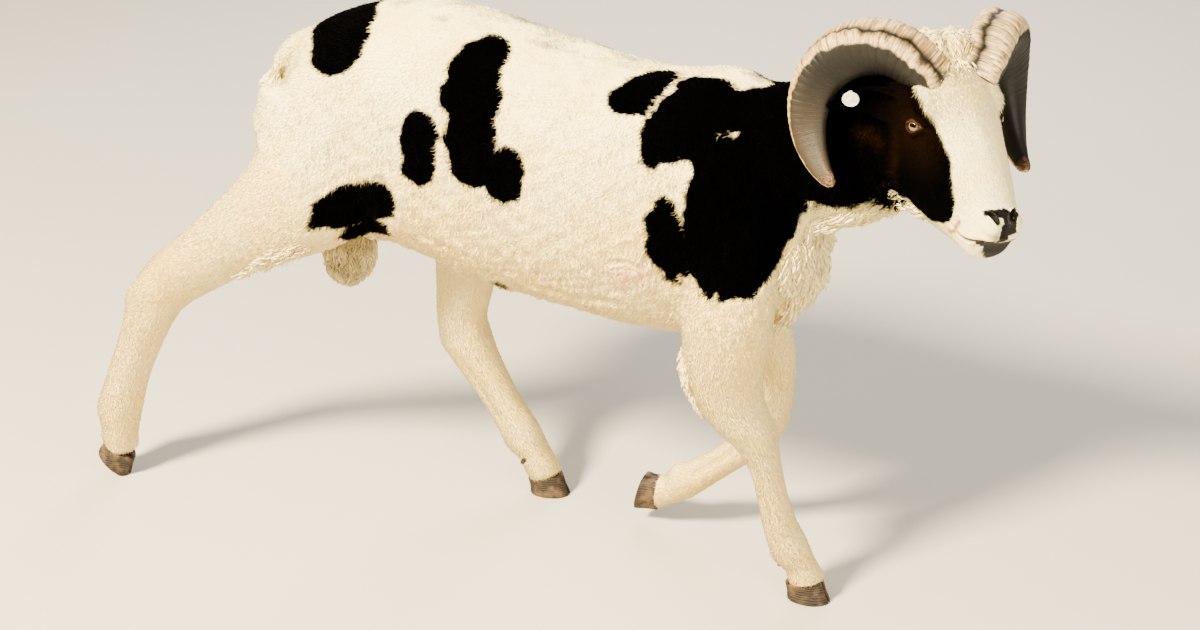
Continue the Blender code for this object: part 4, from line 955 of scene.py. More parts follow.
def markings(points):
    # how black, how brown, how bare and so on, at each point
    local = toHead(points)
    shares, _ = regionShares(points)
    head = shares["head"]
    edge = waveNoise(points, marksSet["raggedSize"], 3) * marksSet["ragged"] * 0.5
    edge += waveNoise(points, 0.009, 4) * 0.0010
    midline = floorShift[1]
    # the patches of one side fade out past the midline
    pastLeft = 0.5 * np.maximum(0, points[:, 1] - midline - 0.03)
    pastRight = 0.5 * np.maximum(0, midline - 0.02 - points[:, 1])
    inside = np.full(len(points), 1e9)
    for patches, past in (("blackRight", pastLeft), ("blackLeft", pastRight), ("blackNeck", 0.0)):
        for chain in marksSet[patches]:
            inside = np.minimum(inside, chainDistance(points, chain) + past)
    for chain in marksSet["whiteOver"]:
        inside = np.maximum(inside, -chainDistance(points, chain))
    inside = inside + 0.011 * waveNoise(points, 0.048, 9) * smoothStep(0.03, 0.08, points[:, 1] - midline)
    inside = inside + 0.05 * smoothStep(0.5, 0.9, shares["limbs"]) * (points[:, 2] < 0.42) + 0.1 * shares["scrotum"]
    body = inside + edge
    x, y, z = local.T
    corner = z - 0.6 * np.abs(y)
    top = np.interp(x, *np.array(marksSet["cheekTop"]).T)
    bottom = np.interp(x, *np.array(marksSet["cheekBottom"]).T)
    cheek = np.maximum(np.maximum(corner - top, bottom - z), x - 0.204) + 0.5 * edge
    cheek = np.where(x < 0.01, np.minimum(cheek, body), cheek)
    cheek = np.where((x < 0.012) & (corner > -0.055), 0.02, cheek)  # the poll is white
    distance = body * (1 - head) + cheek * head
    distance = np.where(shares["ears"] > 0.5, -0.02, distance)
    lining = smoothStep(1.34, 1.14, np.minimum(nostrilShare(local, 1), nostrilShare(local, -1)))
    tints = marksSet["tints"]
    stain = np.clip(0.24 + 0.22 * waveNoise(points, 0.012, 23), 0, 0.7)
    rough = waveNoise(points, 0.0045, 21) * 0.0007 + waveNoise(points, 0.0016, 22) * 0.0004
    return {
        "patch": np.clip(distance, -0.05, 0.05),  # metres from the edge of the black, below 0 inside it
        "brown": np.maximum.reduce([tints["brown"] * chainsShare(local, marksSet["brown"], 0.010, 7.0 * rough),
                                    tints["dark"] * ballsShare(points, marksSet["dark"], 0.003),
                                    stain * ballsShare(points, marksSet["stains"], 0.016)]),
        "nose": np.maximum(chainsShare(local, marksSet["nose"], 0.0007, rough)
                           * (1 - chainsShare(local, marksSet["noseWhite"], 0.0006, 0.5 * rough)), lining),
        # the lip mark also holds the painted shade under the nostril, at a little over half strength
        "lip": np.maximum(chainsShare(local, marksSet["lip"], 0.0016, 1.5 * rough) * (mouthDistance(local) < 0.0004),
                          0.55 * chainsShare(local, marksSet["shadeUnderNostril"], 0.0040)),
        "pink": tints["pink"] * chainsShare(np.abs(local) * (1, 1, -1), marksSet["pink"], 0.0022),
        "bare": tints["bare"] * ballsShare(points, marksSet["bare"], 0.016),
        "warm": np.clip(smoothStep(0.66, 0.42, points[:, 2]) * (1 - head) + 0.25 * waveNoise(points, 0.12, 7)
                        + 0.55 * head * smoothStep(0.11, 0.03, x), 0, 1),
    }


def markSkin(skin):
    points = readVectors(skin)
    marks = markings(points)
    local = toHead(points)
    rim = np.zeros(len(points))
    tints = marksSet["tints"]
    for side in (1, -1):
        share, reach, along, high, _ = lidShare(local, side)
        near = reach < 0.020
        rim = np.maximum(rim, smoothStep(1.30, 1.08, share) * near)
        lid = smoothStep(1.12, 1.22, share) * smoothStep(1.85, 1.60, share) * smoothStep(0.15, 0.6, high) * near
        marks["pink"] = np.maximum(marks["pink"], tints["lidPink"] * lid * smoothStep(1.1, 0.8, np.abs(along)))
        marks["brown"] = np.maximum(marks["brown"], tints["lidBrown"] * smoothStep(0.026, 0.014, reach))
        cheek = smoothStep(0.080, 0.020, reach) * smoothStep(0.002, -0.004, marks["patch"])
        marks["brown"] = np.maximum(marks["brown"], tints["sunBrown"] * cheek)  # painted sheen: the black face round the eye is lightened towards brown
    lips = bell(mouthDistance(local), 0, 0.0016) * smoothStep(0.211, 0.216, local[:, 0])
    marks["rim"] = np.maximum(rim, lips * inHeadBox(local, (-9, 9), 0.05, (-0.078, -0.02)))
    for name, values in marks.items():
        writeMark(skin, name, values)
    return marks


# colours of the hair, shared by the skin and the coat, sRGB hex
hairColours = {
    "cream": "FFF4C8",  # clean fleece
    "lit": "FFFBE0",  # fleece tips
    "butter": "FFE596",  # grease in the fleece
    "beige": "F9DFA0",  # belly and lower legs
    "black": "020202",
    "blackTip": "070504",  # sun-bleached tips of black wool
    "brown": "2B1A0C",
    "pink": "B07A5C",
    "skinPink": "E9C2A4",
    "leather": "0C0807",
    "lip": "0B0807",
}


def hairPattern(tree, place, coatPiece):
    # the same run of colours for skin and coat: cream to beige, black, brown, pink, nose leather
    marks = {name: addNode(tree, "ShaderNodeAttribute", out="Fac", attribute_name=name)
             for name in ("warm", "bare", "patch", "brown", "pink", "lip", "nose", "tipward", "shade")}
    colours = {name: hexColour(code) for name, code in hairColours.items()}
    broad = addNode(tree, "ShaderNodeTexNoise", [place, 9.0, 4.0])  # stains of about 110 mm
    fine = addNode(tree, "ShaderNodeTexNoise", [place, 160.0, 3.0])  # wool staples of about 6 mm
    grease = addNode(tree, "ShaderNodeTexNoise", [place, 17.0, 5.0, 0.6])  # 60 mm
    warmth = addNode(tree, "ShaderNodeMath", [marks["warm"], broad], operation="MULTIPLY")
    warmth = addNode(tree, "ShaderNodeMath", [warmth, 1.5], operation="MULTIPLY", use_clamp=True)
    grease = addNode(tree, "ShaderNodeMapRange", [grease, 0.42, 0.66, 0.0, 0.55])
    light = addNode(tree, "ShaderNodeMix", [warmth, colours["cream"], colours["beige"]], data_type="RGBA")
    light = addNode(tree, "ShaderNodeMix", [grease, light, colours["butter"]], data_type="RGBA")
    dark, patch = colours["black"], marks["patch"]
    if coatPiece:  # paler tips; black and white tufts mingle along the edge of a patch
        pale = addNode(tree, "ShaderNodeMath", [marks["tipward"], 0.35], operation="MULTIPLY")
        light = addNode(tree, "ShaderNodeMix", [pale, light, colours["lit"]], data_type="RGBA")
        pale = addNode(tree, "ShaderNodeMath", [marks["tipward"], 0.5], operation="MULTIPLY")
        dark = addNode(tree, "ShaderNodeMix", [pale, dark, colours["blackTip"]], data_type="RGBA")
        tone = addNode(tree, "ShaderNodeMapRange", [marks["shade"], 0.0, 1.0, 0.90, 1.03])
        mingle = addNode(tree, "ShaderNodeMapRange", [marks["shade"], 0.0, 1.0, -0.0024, 0.0024])
        patch = addNode(tree, "ShaderNodeMath", [patch, mingle], operation="ADD")
    else:
        tone = addNode(tree, "ShaderNodeMapRange", [fine, 0.3, 0.7, 0.84, 0.98])
    edge = addNode(tree, "ShaderNodeMapRange", [patch, -0.0022, 0.0022, 1.0, 0.0])
    colour = light
    for share, over in ((marks["bare"], colours["skinPink"]), (edge, dark), (marks["brown"], colours["brown"]),
                        (marks["pink"], colours["pink"]), (marks["lip"], colours["lip"]),
                        (marks["nose"], colours["leather"])):
        colour = addNode(tree, "ShaderNodeMix", [share, colour, over], data_type="RGBA")
    grey = addNode(tree, "ShaderNodeCombineColor", [tone, tone, tone])
    return addNode(tree, "ShaderNodeMix", [1.0, colour, grey], data_type="RGBA", blend_type="MULTIPLY"), fine, marks


def makeHideMaterial():
    # hide under short hair: matt, broken by fine hair lines, moist only at the nose and lids
    material, tree, place, (rim,) = startMaterial("hide_short_hair", ["rim"])
    colour, fine, marks = hairPattern(tree, place, False)
    colour = addNode(tree, "ShaderNodeMix", [rim, colour, hexColour("2A1812")], data_type="RGBA")
    moist = addNode(tree, "ShaderNodeMath", [marks["nose"], marks["lip"]], operation="MAXIMUM")
    moist = addNode(tree, "ShaderNodeMath", [moist, rim], operation="MAXIMUM")
    rough = addNode(tree, "ShaderNodeMapRange", [moist, 0.0, 1.0, 0.88, 0.46])
    stretched = addNode(tree, "ShaderNodeMapping", {"Vector": place, "Scale": (1.0, 1.0, 0.35)})
    hairs = addNode(tree, "ShaderNodeTexNoise", [stretched, 900.0, 2.0])  # hairs of about 1 mm
    cells = addNode(tree, "ShaderNodeTexVoronoi", {"Vector": place, "Scale": 700.0}, feature="F1")  # nose leather
    height = addNode(tree, "ShaderNodeMath", [hairs, fine], operation="ADD")
    height = addNode(tree, "ShaderNodeMix", [moist, height, cells], data_type="FLOAT")
    pale = addNode(tree, "ShaderNodeMapRange", [marks["patch"], -0.001, 0.001, 0.02, 0.30])
    gloss = addNode(tree, "ShaderNodeMath", [moist, 0.22], operation="MULTIPLY")
    shine = addNode(tree, "ShaderNodeMath", [pale, gloss], operation="MAXIMUM")
    return finishMaterial(material, {"Base Color": colour, "Roughness": rough, "Specular IOR Level": shine,
                                     "Subsurface Weight": 0.05, "Subsurface Radius": (0.006, 0.003, 0.002)},
                          height, 0.55, 0.0012)


# horns: growth ridges, a cream front with a dark crack, a grey-brown side and a rough tip
hornSet = {
    "base": (0.022, 0.045, -0.012), "radiusStart": 0.077, "radiusEnd": 0.071, "axisTurn": 35.2, "axisTilt": 9.2,
    "phase": -91.8, "sweeps": {1: -209.0, -1: -202.1}, "drifts": {1: 0.096, -1: 0.088}, "driftPower": 1.6,
    "shift": 0.007, "root": -0.11, "depthShare": 0.86,
    "widths": [(-0.11, 0.029), (0.0, 0.031), (0.2, 0.033), (0.36, 0.0315), (0.5, 0.028), (0.65, 0.024),
               (0.8, 0.019), (0.9, 0.0142), (0.965, 0.0098), (0.99, 0.0068), (1.0, 0.004)],
    "rings": 400, "sides": 80,
    "ridgeEvery": 0.0125,  # metres between growth ridges at the base
    "ridgeHeight": 0.045,  # share of the horn's half width
    "fineEvery": 0.0027,  # metres between the fine rings
    "section": 0.1,  # how far the round is pressed towards three sides
    "wornTip": 0.0006,
    "crackWander": ((0.09, 95.0, 0.0), (0.05, 231.0, 1.0), (0.03, 517.0, 0.0)),  # radians, waves a metre, start
    "crackDepth": 0.08,  # share of the horn's half width
    "crack": {1: -20.0, -1: 24.0},  # degrees round the horn from its outer edge to the dark crack
    "cream": (-76.0, 62.0),  # degrees round the horn where its front is cream
}


# colours by side: the right horn's front is browner and its side and tip lighter than the left one's; the left horn's
# darker side and tip are painted shade from the head on its inner face
hornColoursAndShade = {
    -1: {"tan": "B29568", "cream": "E6CFA2", "side": "17110D", "tipDark": "241C15", "tipLight": "554735"},
    # painted shade: the left horn's side, tipDark and tipLight colours are darkened for the head's shadow
    1: {"tan": "CBAE80", "cream": "F2E0B8", "side": "0E0B09", "tipDark": "120E0B", "tipLight": "2C241D"},
}
for palette in hornColoursAndShade.values():
    palette.update({"ring": "4A3520", "groove": "050403", "blotch": "96764E", "dirt": "33200F", "crack": "070504",
                    "bone": "A98465"})


def hornLine(share, side):
    # the middle of the horn, the way out from its coil's hub, and the coil's axis
    turn, tilt = math.radians(hornSet["axisTurn"]), math.radians(hornSet["axisTilt"])
    axis = np.array([math.sin(turn) * math.cos(tilt), side * math.cos(turn) * math.cos(tilt), math.sin(tilt)])
    first = np.array([1.0, 0.0, 0.0])
    first = unit(first - axis * (first @ axis))
    second = np.cross(axis, first) * side
    phase = math.radians(hornSet["phase"])
    angle = phase + math.radians(hornSet["sweeps"][side]) * share
    radius = hornSet["radiusStart"] + (hornSet["radiusEnd"] - hornSet["radiusStart"]) * share
    base = np.array(hornSet["base"]) * (1, side, 1) + np.array([0.0, hornSet["shift"], 0.0])
    hub = base - (first * math.cos(phase) + second * math.sin(phase)) * hornSet["radiusStart"]
    radial = first * np.cos(angle)[:, None] + second * np.sin(angle)[:, None]
    drift = np.sign(share) * np.abs(share) ** hornSet["driftPower"] * hornSet["drifts"][side]
    return hub + radial * radius[:, None] + axis * drift[:, None], radial, axis


def makeHorn(side, name):
    draw = np.random.default_rng(40 + side)
    share = np.linspace(hornSet["root"], 1.0, hornSet["rings"])
    centre, radial, axis = hornLine(share, side)
    ahead = unit(np.gradient(centre, axis=0))
    outward = unit(radial - ahead * dots(radial, ahead)[:, None])
    sideways = unit(axis - ahead * (ahead @ axis)[:, None] - outward * (outward @ axis)[:, None])
    width = np.interp(share, *np.array(hornSet["widths"]).T)
    length = np.concatenate([[0], np.cumsum(np.linalg.norm(np.diff(centre, axis=0), axis=1))])
    # ridges stand closer towards the tip
    marks = [0.0]
    while marks[-1] < length[-1]:
        gone = marks[-1] / length[-1]
        marks.append(marks[-1] + hornSet["ridgeEvery"] * (1.0 - 0.55 * gone) * draw.uniform(0.75, 1.25))
    step = np.searchsorted(marks, length, side="right") - 1
    marks = np.array(marks)
    within = (length - marks[step]) / (marks[step + 1] - marks[step])
    strength = draw.uniform(0.6, 1.3, len(marks))[step]
    fade = 1.0 - smoothStep(0.35, 0.95, share) * 0.85
    wave = (np.sin(math.pi * within ** 0.75) ** 0.7 * strength - 0.4) * fade
    turn = turns(hornSet["sides"])
    front = 0.5 + 0.5 * np.cos(turn)
    reach = 1.0 - hornSet["section"] * np.cos(3 * turn)
    reach = reach[None, :] * (1.0 + hornSet["ridgeHeight"] * wave[:, None] * (0.25 + 0.75 * front[None, :]))
    fineRings = np.sin(length * 2 * math.pi / hornSet["fineEvery"])[:, None] * 0.004 * (0.5 + 0.5 * fade[:, None])
    wander = sum(size * np.sin(length * waves + start) for size, waves, start in hornSet["crackWander"])
    crackAngle = math.radians(hornSet["crack"][side])
    crackGap = (turn[None, :] - crackAngle - wander[:, None] + math.pi) % (2 * math.pi) - math.pi
    crackWide = (0.20 - 0.30 * np.clip(share, 0.0, 0.4)) * (1.0 + 0.3 * np.sin(length * 310.0))
    groove = bell(crackGap, 0, crackWide[:, None]) * smoothStep(0.48, 0.34, share)[:, None]
    reach = reach * (1.0 + fineRings) - hornSet["crackDepth"] * groove
    rings = (centre[:, None] + outward[:, None] * (width[:, None] * reach * np.cos(turn))[..., None]
             + sideways[:, None] * (width[:, None] * hornSet["depthShare"] * reach * np.sin(turn))[..., None])
    worn = smoothStep(0.93, 1.0, share)[:, None, None]
    rings = rings + draw.normal(size=rings.shape) * hornSet["wornTip"] * worn
    rings = np.concatenate([rings, rings[-1:] * 0.35 + (centre[-1] + ahead[-1] * 0.0016) * 0.65], axis=0)
    points, triangles = closedTube(rings)
    horn = meshFromArrays(name, fromHead(points), triangles)
    # marks for the material, with a value for each end's middle point
    creamFrom, creamTo = hornSet["cream"]
    off = np.abs((np.degrees(turn) - 0.5 * (creamFrom + creamTo) + 180) % 360 - 180)
    sides = hornSet["sides"]
    for mark, values, ends in (
            ("front", np.tile(0.5 * (creamTo - creamFrom) - off, len(rings)), (0, 0)),  # degrees inside the cream front
            ("around", np.tile(np.cos(turn), len(rings)), (0, 0)),
            ("along", np.repeat(np.append(share, 1.0), sides), (hornSet["root"], 1)),
            ("metres", np.repeat(np.append(length, length[-1]), sides), (0, length[-1])),
            ("ridge", np.repeat(np.append(wave, 0.0), sides), (0, 0)),
            ("crack", np.sqrt(np.append(groove, groove[-1:], axis=0)).ravel(), (0, 0))):
        writeMark(horn, mark, np.append(values, ends))
    return horn


def makeHornMaterial(side):
    # horn keratin: dull, ringed, cream on the front face and grey-brown at the side, ageing to bone at the tip
    material, tree, place, (front, around, along, metres, ridge, crack) = startMaterial(
        f"horn_keratin_{'left' if side > 0 else 'right'}", ("front", "around", "along", "metres", "ridge", "crack"))
    colours = {name: hexColour(code) for name, code in hornColoursAndShade[side].items()}
    blotch = addNode(tree, "ShaderNodeTexNoise", [place, 60.0, 5.0])  # blotches of about 10 mm
    bent = addNode(tree, "ShaderNodeMath", [around, 0.008], operation="MULTIPLY")
    bands = addNode(tree, "ShaderNodeCombineXYZ", [metres, bent])
    bands = addNode(tree, "ShaderNodeTexNoise", [bands, 420.0, 4.0, 0.7])  # growth lines, 2 to 3 mm
    # the cream front, with a ragged edge towards the grey side
    ragged = addNode(tree, "ShaderNodeMath", [blotch, 20.0], operation="MULTIPLY")
    front = addNode(tree, "ShaderNodeMath", [front, ragged], operation="SUBTRACT")
    front = addNode(tree, "ShaderNodeMapRange", [front, -13.0, -7.0])
    faces = []
    for stops in (((0.32, "ring"), (0.46, "tan"), (0.66, "cream")), ((0.32, "groove"), (0.66, "side"))):
        faces.append(addNode(tree, "ShaderNodeValToRGB", [bands]))
        elements = faces[-1].node.color_ramp.elements
        for number, (spot, name) in enumerate(stops):
            stop = elements.new(spot) if 0 < number < len(stops) - 1 else elements[-1 if number else 0]
            stop.position, stop.color = spot, colours[name]
    cream, grey = faces
    patchy = addNode(tree, "ShaderNodeMapRange", [blotch, 0.50, 0.62, 0.0, 0.55])
    cream = addNode(tree, "ShaderNodeMix", [patchy, cream, colours["blotch"]], data_type="RGBA")
    tip = addNode(tree, "ShaderNodeMapRange", [along, 0.45, 0.95])
    tipColour = addNode(tree, "ShaderNodeMix", [bands, colours["tipDark"], colours["tipLight"]], data_type="RGBA")
    # the hollows between the growth ridges on the cream front are darkened
    hollow = addNode(tree, "ShaderNodeMapRange", [ridge, -0.38, -0.06, 0.92, 0.0])
    hollow = addNode(tree, "ShaderNodeMath", [hollow, front], operation="MULTIPLY")
    end = addNode(tree, "ShaderNodeMapRange", [along, 0.955, 0.995])
    end = addNode(tree, "ShaderNodeMath", [end, blotch], operation="MULTIPLY")
    colour = addNode(tree, "ShaderNodeMix", [tip, grey, tipColour], data_type="RGBA")
    for share, over in ((front, cream), (hollow, colours["dirt"]), (crack, colours["crack"]), (end, colours["bone"])):
        colour = addNode(tree, "ShaderNodeMix", [share, colour, over], data_type="RGBA")
    rough = addNode(tree, "ShaderNodeMapRange", [blotch, 0.0, 1.0, 0.42, 0.72])
    height = addNode(tree, "ShaderNodeMath", [bands, blotch], operation="ADD")
    return finishMaterial(material, {"Base Color": colour, "Roughness": rough, "IOR": 1.54}, height, 0.45, 0.0010)


# eyes: a ball with a clear bulge, an amber iris and a level slot for a pupil
eyeSet = {
    "iris": 0.0066, "slotLong": 0.0043, "slotHigh": 0.0022, "bulge": 0.0009, "cornea": 0.0078, "slotTurn": -10.0,
    "looks": {1: (0.22, 0.90, 0.30), -1: (0.17, -0.80, 0.48)},
}


def makeEye(side, name):
    middle, _, lengthwise, _ = eyeFrame(side)
    gaze = unit(np.array(eyeSet["looks"][side]))
    lengthwise = unit(lengthwise - gaze * (lengthwise @ gaze))
    heightwise = np.cross(lengthwise, gaze) * side
    radius = headSet["eyeRadius"]
    polar = np.linspace(0.0, math.pi, 60)
    polar[0], polar[-1] = 0.004, math.pi - 0.004
    turn = turns(72)
    swell = radius + eyeSet["bulge"] * np.exp(-(radius * np.sin(polar) / eyeSet["cornea"]) ** 4) * (polar < 1.5)
    rings = ((swell * np.cos(polar))[:, None, None] * gaze
             + (swell * np.sin(polar))[:, None, None] * (np.cos(turn)[:, None] * lengthwise
                                                         + np.sin(turn)[:, None] * heightwise)[None])
    points, triangles = closedTube(rings + middle)
    eye = meshFromArrays(name, fromHead(points), triangles)
    away = points - middle
    ahead = away @ gaze > 0
    angle = math.radians(eyeSet["slotTurn"])
    u, v = away @ lengthwise, away @ heightwise
    long, high = u * math.cos(angle) + v * math.sin(angle), v * math.cos(angle) - u * math.sin(angle)
    writeMark(eye, "spread", np.where(ahead, np.hypot(long, high) / eyeSet["iris"], 3.0))
    slot = np.sqrt((long / eyeSet["slotLong"]) ** 4 + (high / eyeSet["slotHigh"]) ** 4)
    writeMark(eye, "slot", np.where(ahead, np.minimum(slot, 5.0), 5.0))
    return eye


def makeEyeMaterial():
    # wet eye: clear gloss over an amber iris with fine rays, dark slot pupil and dark rim
    material, tree, place, (spread, slot) = startMaterial("eye_wet_amber", ("spread", "slot"))
    rays = addNode(tree, "ShaderNodeTexNoise", [place, 1100.0, 3.0])  # rays under 1 mm
    colour = addNode(tree, "ShaderNodeMix", [rays, hexColour("46301C"), hexColour("907250")], data_type="RGBA")
    for span, code in (([spread, 0.78, 1.0], "2B1609"), ([spread, 1.02, 1.20], "3A241A"),
                       ([slot, 0.80, 1.15, 1.0, 0.0], "020202")):  # edge of the iris, white and pupil
        share = addNode(tree, "ShaderNodeMapRange", span)
        colour = addNode(tree, "ShaderNodeMix", [share, colour, hexColour(code)], data_type="RGBA")
    return finishMaterial(material, {"Base Color": colour, "Roughness": 0.06, "IOR": 1.38, "Coat Weight": 1.0,
                                     "Coat Roughness": 0.03})


# claws: two for each foot, grown in rings, and a pair of dew claws above them
clawOutline = [(-0.42, 0.00), (-0.40, 0.55), (-0.26, 0.88), (0.00, 1.00), (0.26, 0.86), (0.46, 0.52), (0.56, 0.12),
               (0.50, 0.00), (0.05, 0.00)]  # of the sole: along and across, shares of the length and the width
dewClawSet = {"up": 0.028, "back": 0.022, "apart": 0.013, "length": 0.013, "halfWide": 0.0060, "halfThick": 0.0045}


def clawShape(name, side):
    sole, toe, left, up = footAxes(name)
    smooth = catmullRows(clawOutline[-2:] + clawOutline + clawOutline[:2], 5)[10:-10]
    smooth[:, 1] = np.maximum(smooth[:, 1], 0.0)
    length = clawSet["length"]
    rings = []
    for number, level in enumerate(np.linspace(0.0, 1.0, 16)):
        shrink = (1.0 - clawSet["taper"] * level + clawSet["rings"] * math.sin(number * 2.4)
                  - clawSet["waist"] * math.sin(math.pi * level) ** 2)
        if number == 0:
            shrink -= clawSet["worn"]
        x = smooth[:-1, 0] * length * shrink - level * length * clawSet["lean"]
        height = clawSet["heel"] + clawRise * (x + clawSet["back"] * length)
        inner = 0.5 * clawSet["cleft"] + np.maximum(0.0, smooth[:-1, 0]) * length * clawSet["toeIn"] * 0.5
        y = inner + smooth[:-1, 1] * clawSet["width"] * shrink
        rings.append(sole + x[:, None] * toe + (y * side)[:, None] * left + (height * level)[:, None] * up)
    rings = np.array(rings)
    rings[..., 2] = np.maximum(rings[..., 2], 0.0)
    return closedTube(rings)


def dewClawShapes(name):
    _, toe, left, _ = footAxes(name)
    place, normal = coronetPlane(name)
    lie = unit(-toe * 0.75 - normal * 0.65)
    across = unit(np.cross(lie, left))
    turn = turns(20)[:, None]
    section = left * np.cos(turn) * dewClawSet["halfWide"] + across * np.sin(turn) * dewClawSet["halfThick"]
    shapes = []
    for side in (1, -1):
        root = place + normal * dewClawSet["up"] - toe * dewClawSet["back"] + left * (dewClawSet["apart"] * side)
        rings = [root + lie * (dewClawSet["length"] * share) + section * grow for share, grow in
                 ((-0.5, 0.8), (0.0, 1.0), (0.4, 0.95), (0.75, 0.70), (0.95, 0.35), (1.0, 0.12))]
        shapes.append(closedTube(np.array(rings)))
    return shapes


def makeClawMaterial():
    # hoof horn: dull, dark grey-brown with pale growth rings and soil at the sole
    material, tree, place, _ = startMaterial("claw_horn_dull")
    rings = addNode(tree, "ShaderNodeTexWave", {"Vector": place, "Scale": 95.0, "Distortion": 3.0, "Detail": 2.0,
                                                "Detail Scale": 1.5}, "Fac", bands_direction="Z")  # rings of 3 mm
    blotch = addNode(tree, "ShaderNodeTexNoise", [place, 70.0, 5.0])
    colour = addNode(tree, "ShaderNodeMix", [rings, hexColour("1C1612"), hexColour("43372C")], data_type="RGBA")
    soil = addNode(tree, "ShaderNodeMapRange", [blotch, 0.45, 0.7])
    colour = addNode(tree, "ShaderNodeMix", [soil, colour, hexColour("6E5841")], data_type="RGBA")
    rough = addNode(tree, "ShaderNodeMapRange", [blotch, 0.0, 1.0, 0.5, 0.8])
    return finishMaterial(material, {"Base Color": colour, "Roughness": rough}, rings, 0.4, 0.0008)


# the plain button tag in the right ear
tagSet = {"radius": 0.0100, "thickness": 0.0026, "stem": 0.0026, "back": 0.0055, "rim": 0.0008, "standOff": 0.0020}


def tagFrame():
    lie, mouth, edge = earFrame(-1)
    share = np.array([earSet["tagPlace"]])
    _, bend = earSection(share)
    place = earLine(-1, share)[0] - mouth * (bend[0] * 0.6) + edge * earSet["tagShift"]
    return place + mouth * tagSet["standOff"], lie, mouth, edge


def makeTag():
    place, lie, mouth, edge = tagFrame()
    inner = 0.0026 + 0.0006  # half of the ear's thickness there, with a little room
    radius, rim, back, stem = (tagSet[key] for key in ("radius", "rim", "back", "stem"))
    outer = inner + tagSet["thickness"]
    profile = [(-outer, 0.0004), (-outer, back - rim), (-outer + rim, back), (-inner, back), (-inner, stem),
               (inner, stem), (inner, radius - rim), (inner + 0.5 * rim, radius), (outer - rim, radius),
               (outer - 0.3 * rim, radius - 0.4 * rim), (outer, radius - 1.4 * rim),
               (outer - 0.0004, radius - 2.2 * rim), (outer - 0.0004, 0.0030), (outer + 0.0003, 0.0024),
               (outer + 0.0004, 0.0004)]  # height and reach of each ring
    turn = turns(56)[:, None]
    points, triangles = closedTube(np.array([place + mouth * height + reach * (lie * np.cos(turn) + edge * np.sin(turn))
                                             for height, reach in profile]))
    return meshFromArrays("tag_button", fromHead(points), triangles, smooth=False)


def makeTagMaterial():
    # moulded polyurethane tag: satin white, a little chalky and dirty with age
    material, tree, place, _ = startMaterial("polyurethane_tag_white")
    dirt = addNode(tree, "ShaderNodeTexNoise", [place, 260.0, 5.0])  # smears of 4 mm
    share = addNode(tree, "ShaderNodeMapRange", [dirt, 0.50, 0.72, 0.0, 0.6])
    colour = addNode(tree, "ShaderNodeMix", [share, hexColour("E2DED2"), hexColour("A79C88")], data_type="RGBA")
    rough = addNode(tree, "ShaderNodeMapRange", [dirt, 0.0, 1.0, 0.30, 0.65])
    return finishMaterial(material, {"Base Color": colour, "Roughness": rough, "IOR": 1.5}, dirt, 0.12, 0.0005)


# the coat: tufts on the skin by Geometry Nodes, one tree for all pieces
coatSet = {
    # spacing and length in metres, width as a share of the length
    "fleece": {"spacing": 0.00145, "length": 0.005, "width": 0.29, "lift": 0.5, "spread": 0.85},
    "legs": {"spacing": 0.0011, "length": 0.005, "width": 0.19, "lift": 0.36, "spread": 0.42},
    "face": {"spacing": 0.001, "length": 0.0034, "width": 0.24, "lift": 0.3, "spread": 0.35},
    "wool": {"spacing": 0.0012, "width": 0.09, "lift": 0.42, "spread": 0.80},
    "earLength": 0.0045,
    "browLength": 0.0042,  # added on the forehead
    "nearMouth": 0.5,  # share of the length that is lost near the eyes and the muzzle
    "bodyLie": (-0.55, 0.0, -0.8), "limbLie": 1.2,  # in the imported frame; strength along the limbs
    # in the head's frame: down the face, down the cheek, added behind the brow
    "noseLie": (1.0, 0.0, 0.0), "cheekLie": (-0.45, 0.0, -0.9), "pollLie": (-1.2, 0.0, 0.4),
    "uneven": 0.3,  # spread of the lengths
    "patchSize": 0.003,  # side of each tuft's patch on the map for baking
    # longer wool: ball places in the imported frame, radius and length there
    "longWool": [
        ((0.478, -0.03, 0.552), 0.026, 0.016), ((0.432, 0.008, 0.52), 0.036, 0.02), ((0.402, 0.014, 0.492), 0.042, 0.024),
        ((0.39, 0.02, 0.45), 0.046, 0.025), ((0.372, 0.022, 0.405), 0.044, 0.023), ((0.34, 0.026, 0.37), 0.04, 0.018),
        ((0.375, 0.075, 0.47), 0.034, 0.019), ((0.378, -0.032, 0.462), 0.034, 0.021),
        ((0.236, -0.075, 0.325), 0.03, 0.013), ((0.226, 0.118, 0.325), 0.03, 0.013), ((0.25, -0.07, 0.285), 0.024, 0.012),
        ((-0.383, -0.086, 0.354), 0.015, 0.013), ((-0.352, -0.094, 0.376), 0.016, 0.014),
        ((-0.323, -0.101, 0.396), 0.016, 0.014), ((-0.297, -0.102, 0.411), 0.014, 0.013),
        ((-0.385, 0.022, 0.585), 0.026, 0.018), ((-0.396, 0.022, 0.56), 0.024, 0.022),
        ((-0.292, 0.029, 0.345), 0.036, 0.015), ((-0.29, 0.029, 0.385), 0.042, 0.015),
        ((-0.225, 0.0, 0.425), 0.03, 0.018), ((-0.02, -0.05, 0.396), 0.012, 0.014),
    ],
    "jawWool": [((0.118, -0.03, -0.165), 0.022, 0.026), ((0.13, 0.004, -0.16), 0.024, 0.026),
                ((0.12, 0.034, -0.16), 0.02, 0.022)],
    "pollWool": [((0.0, 0.0, -0.01), 0.044, 0.016), ((0.03, 0.0, 0.006), 0.03, 0.011),
                 ((0.026, 0.022, 0.0), 0.026, 0.011), ((0.026, -0.022, 0.0), 0.026, 0.011)],
}


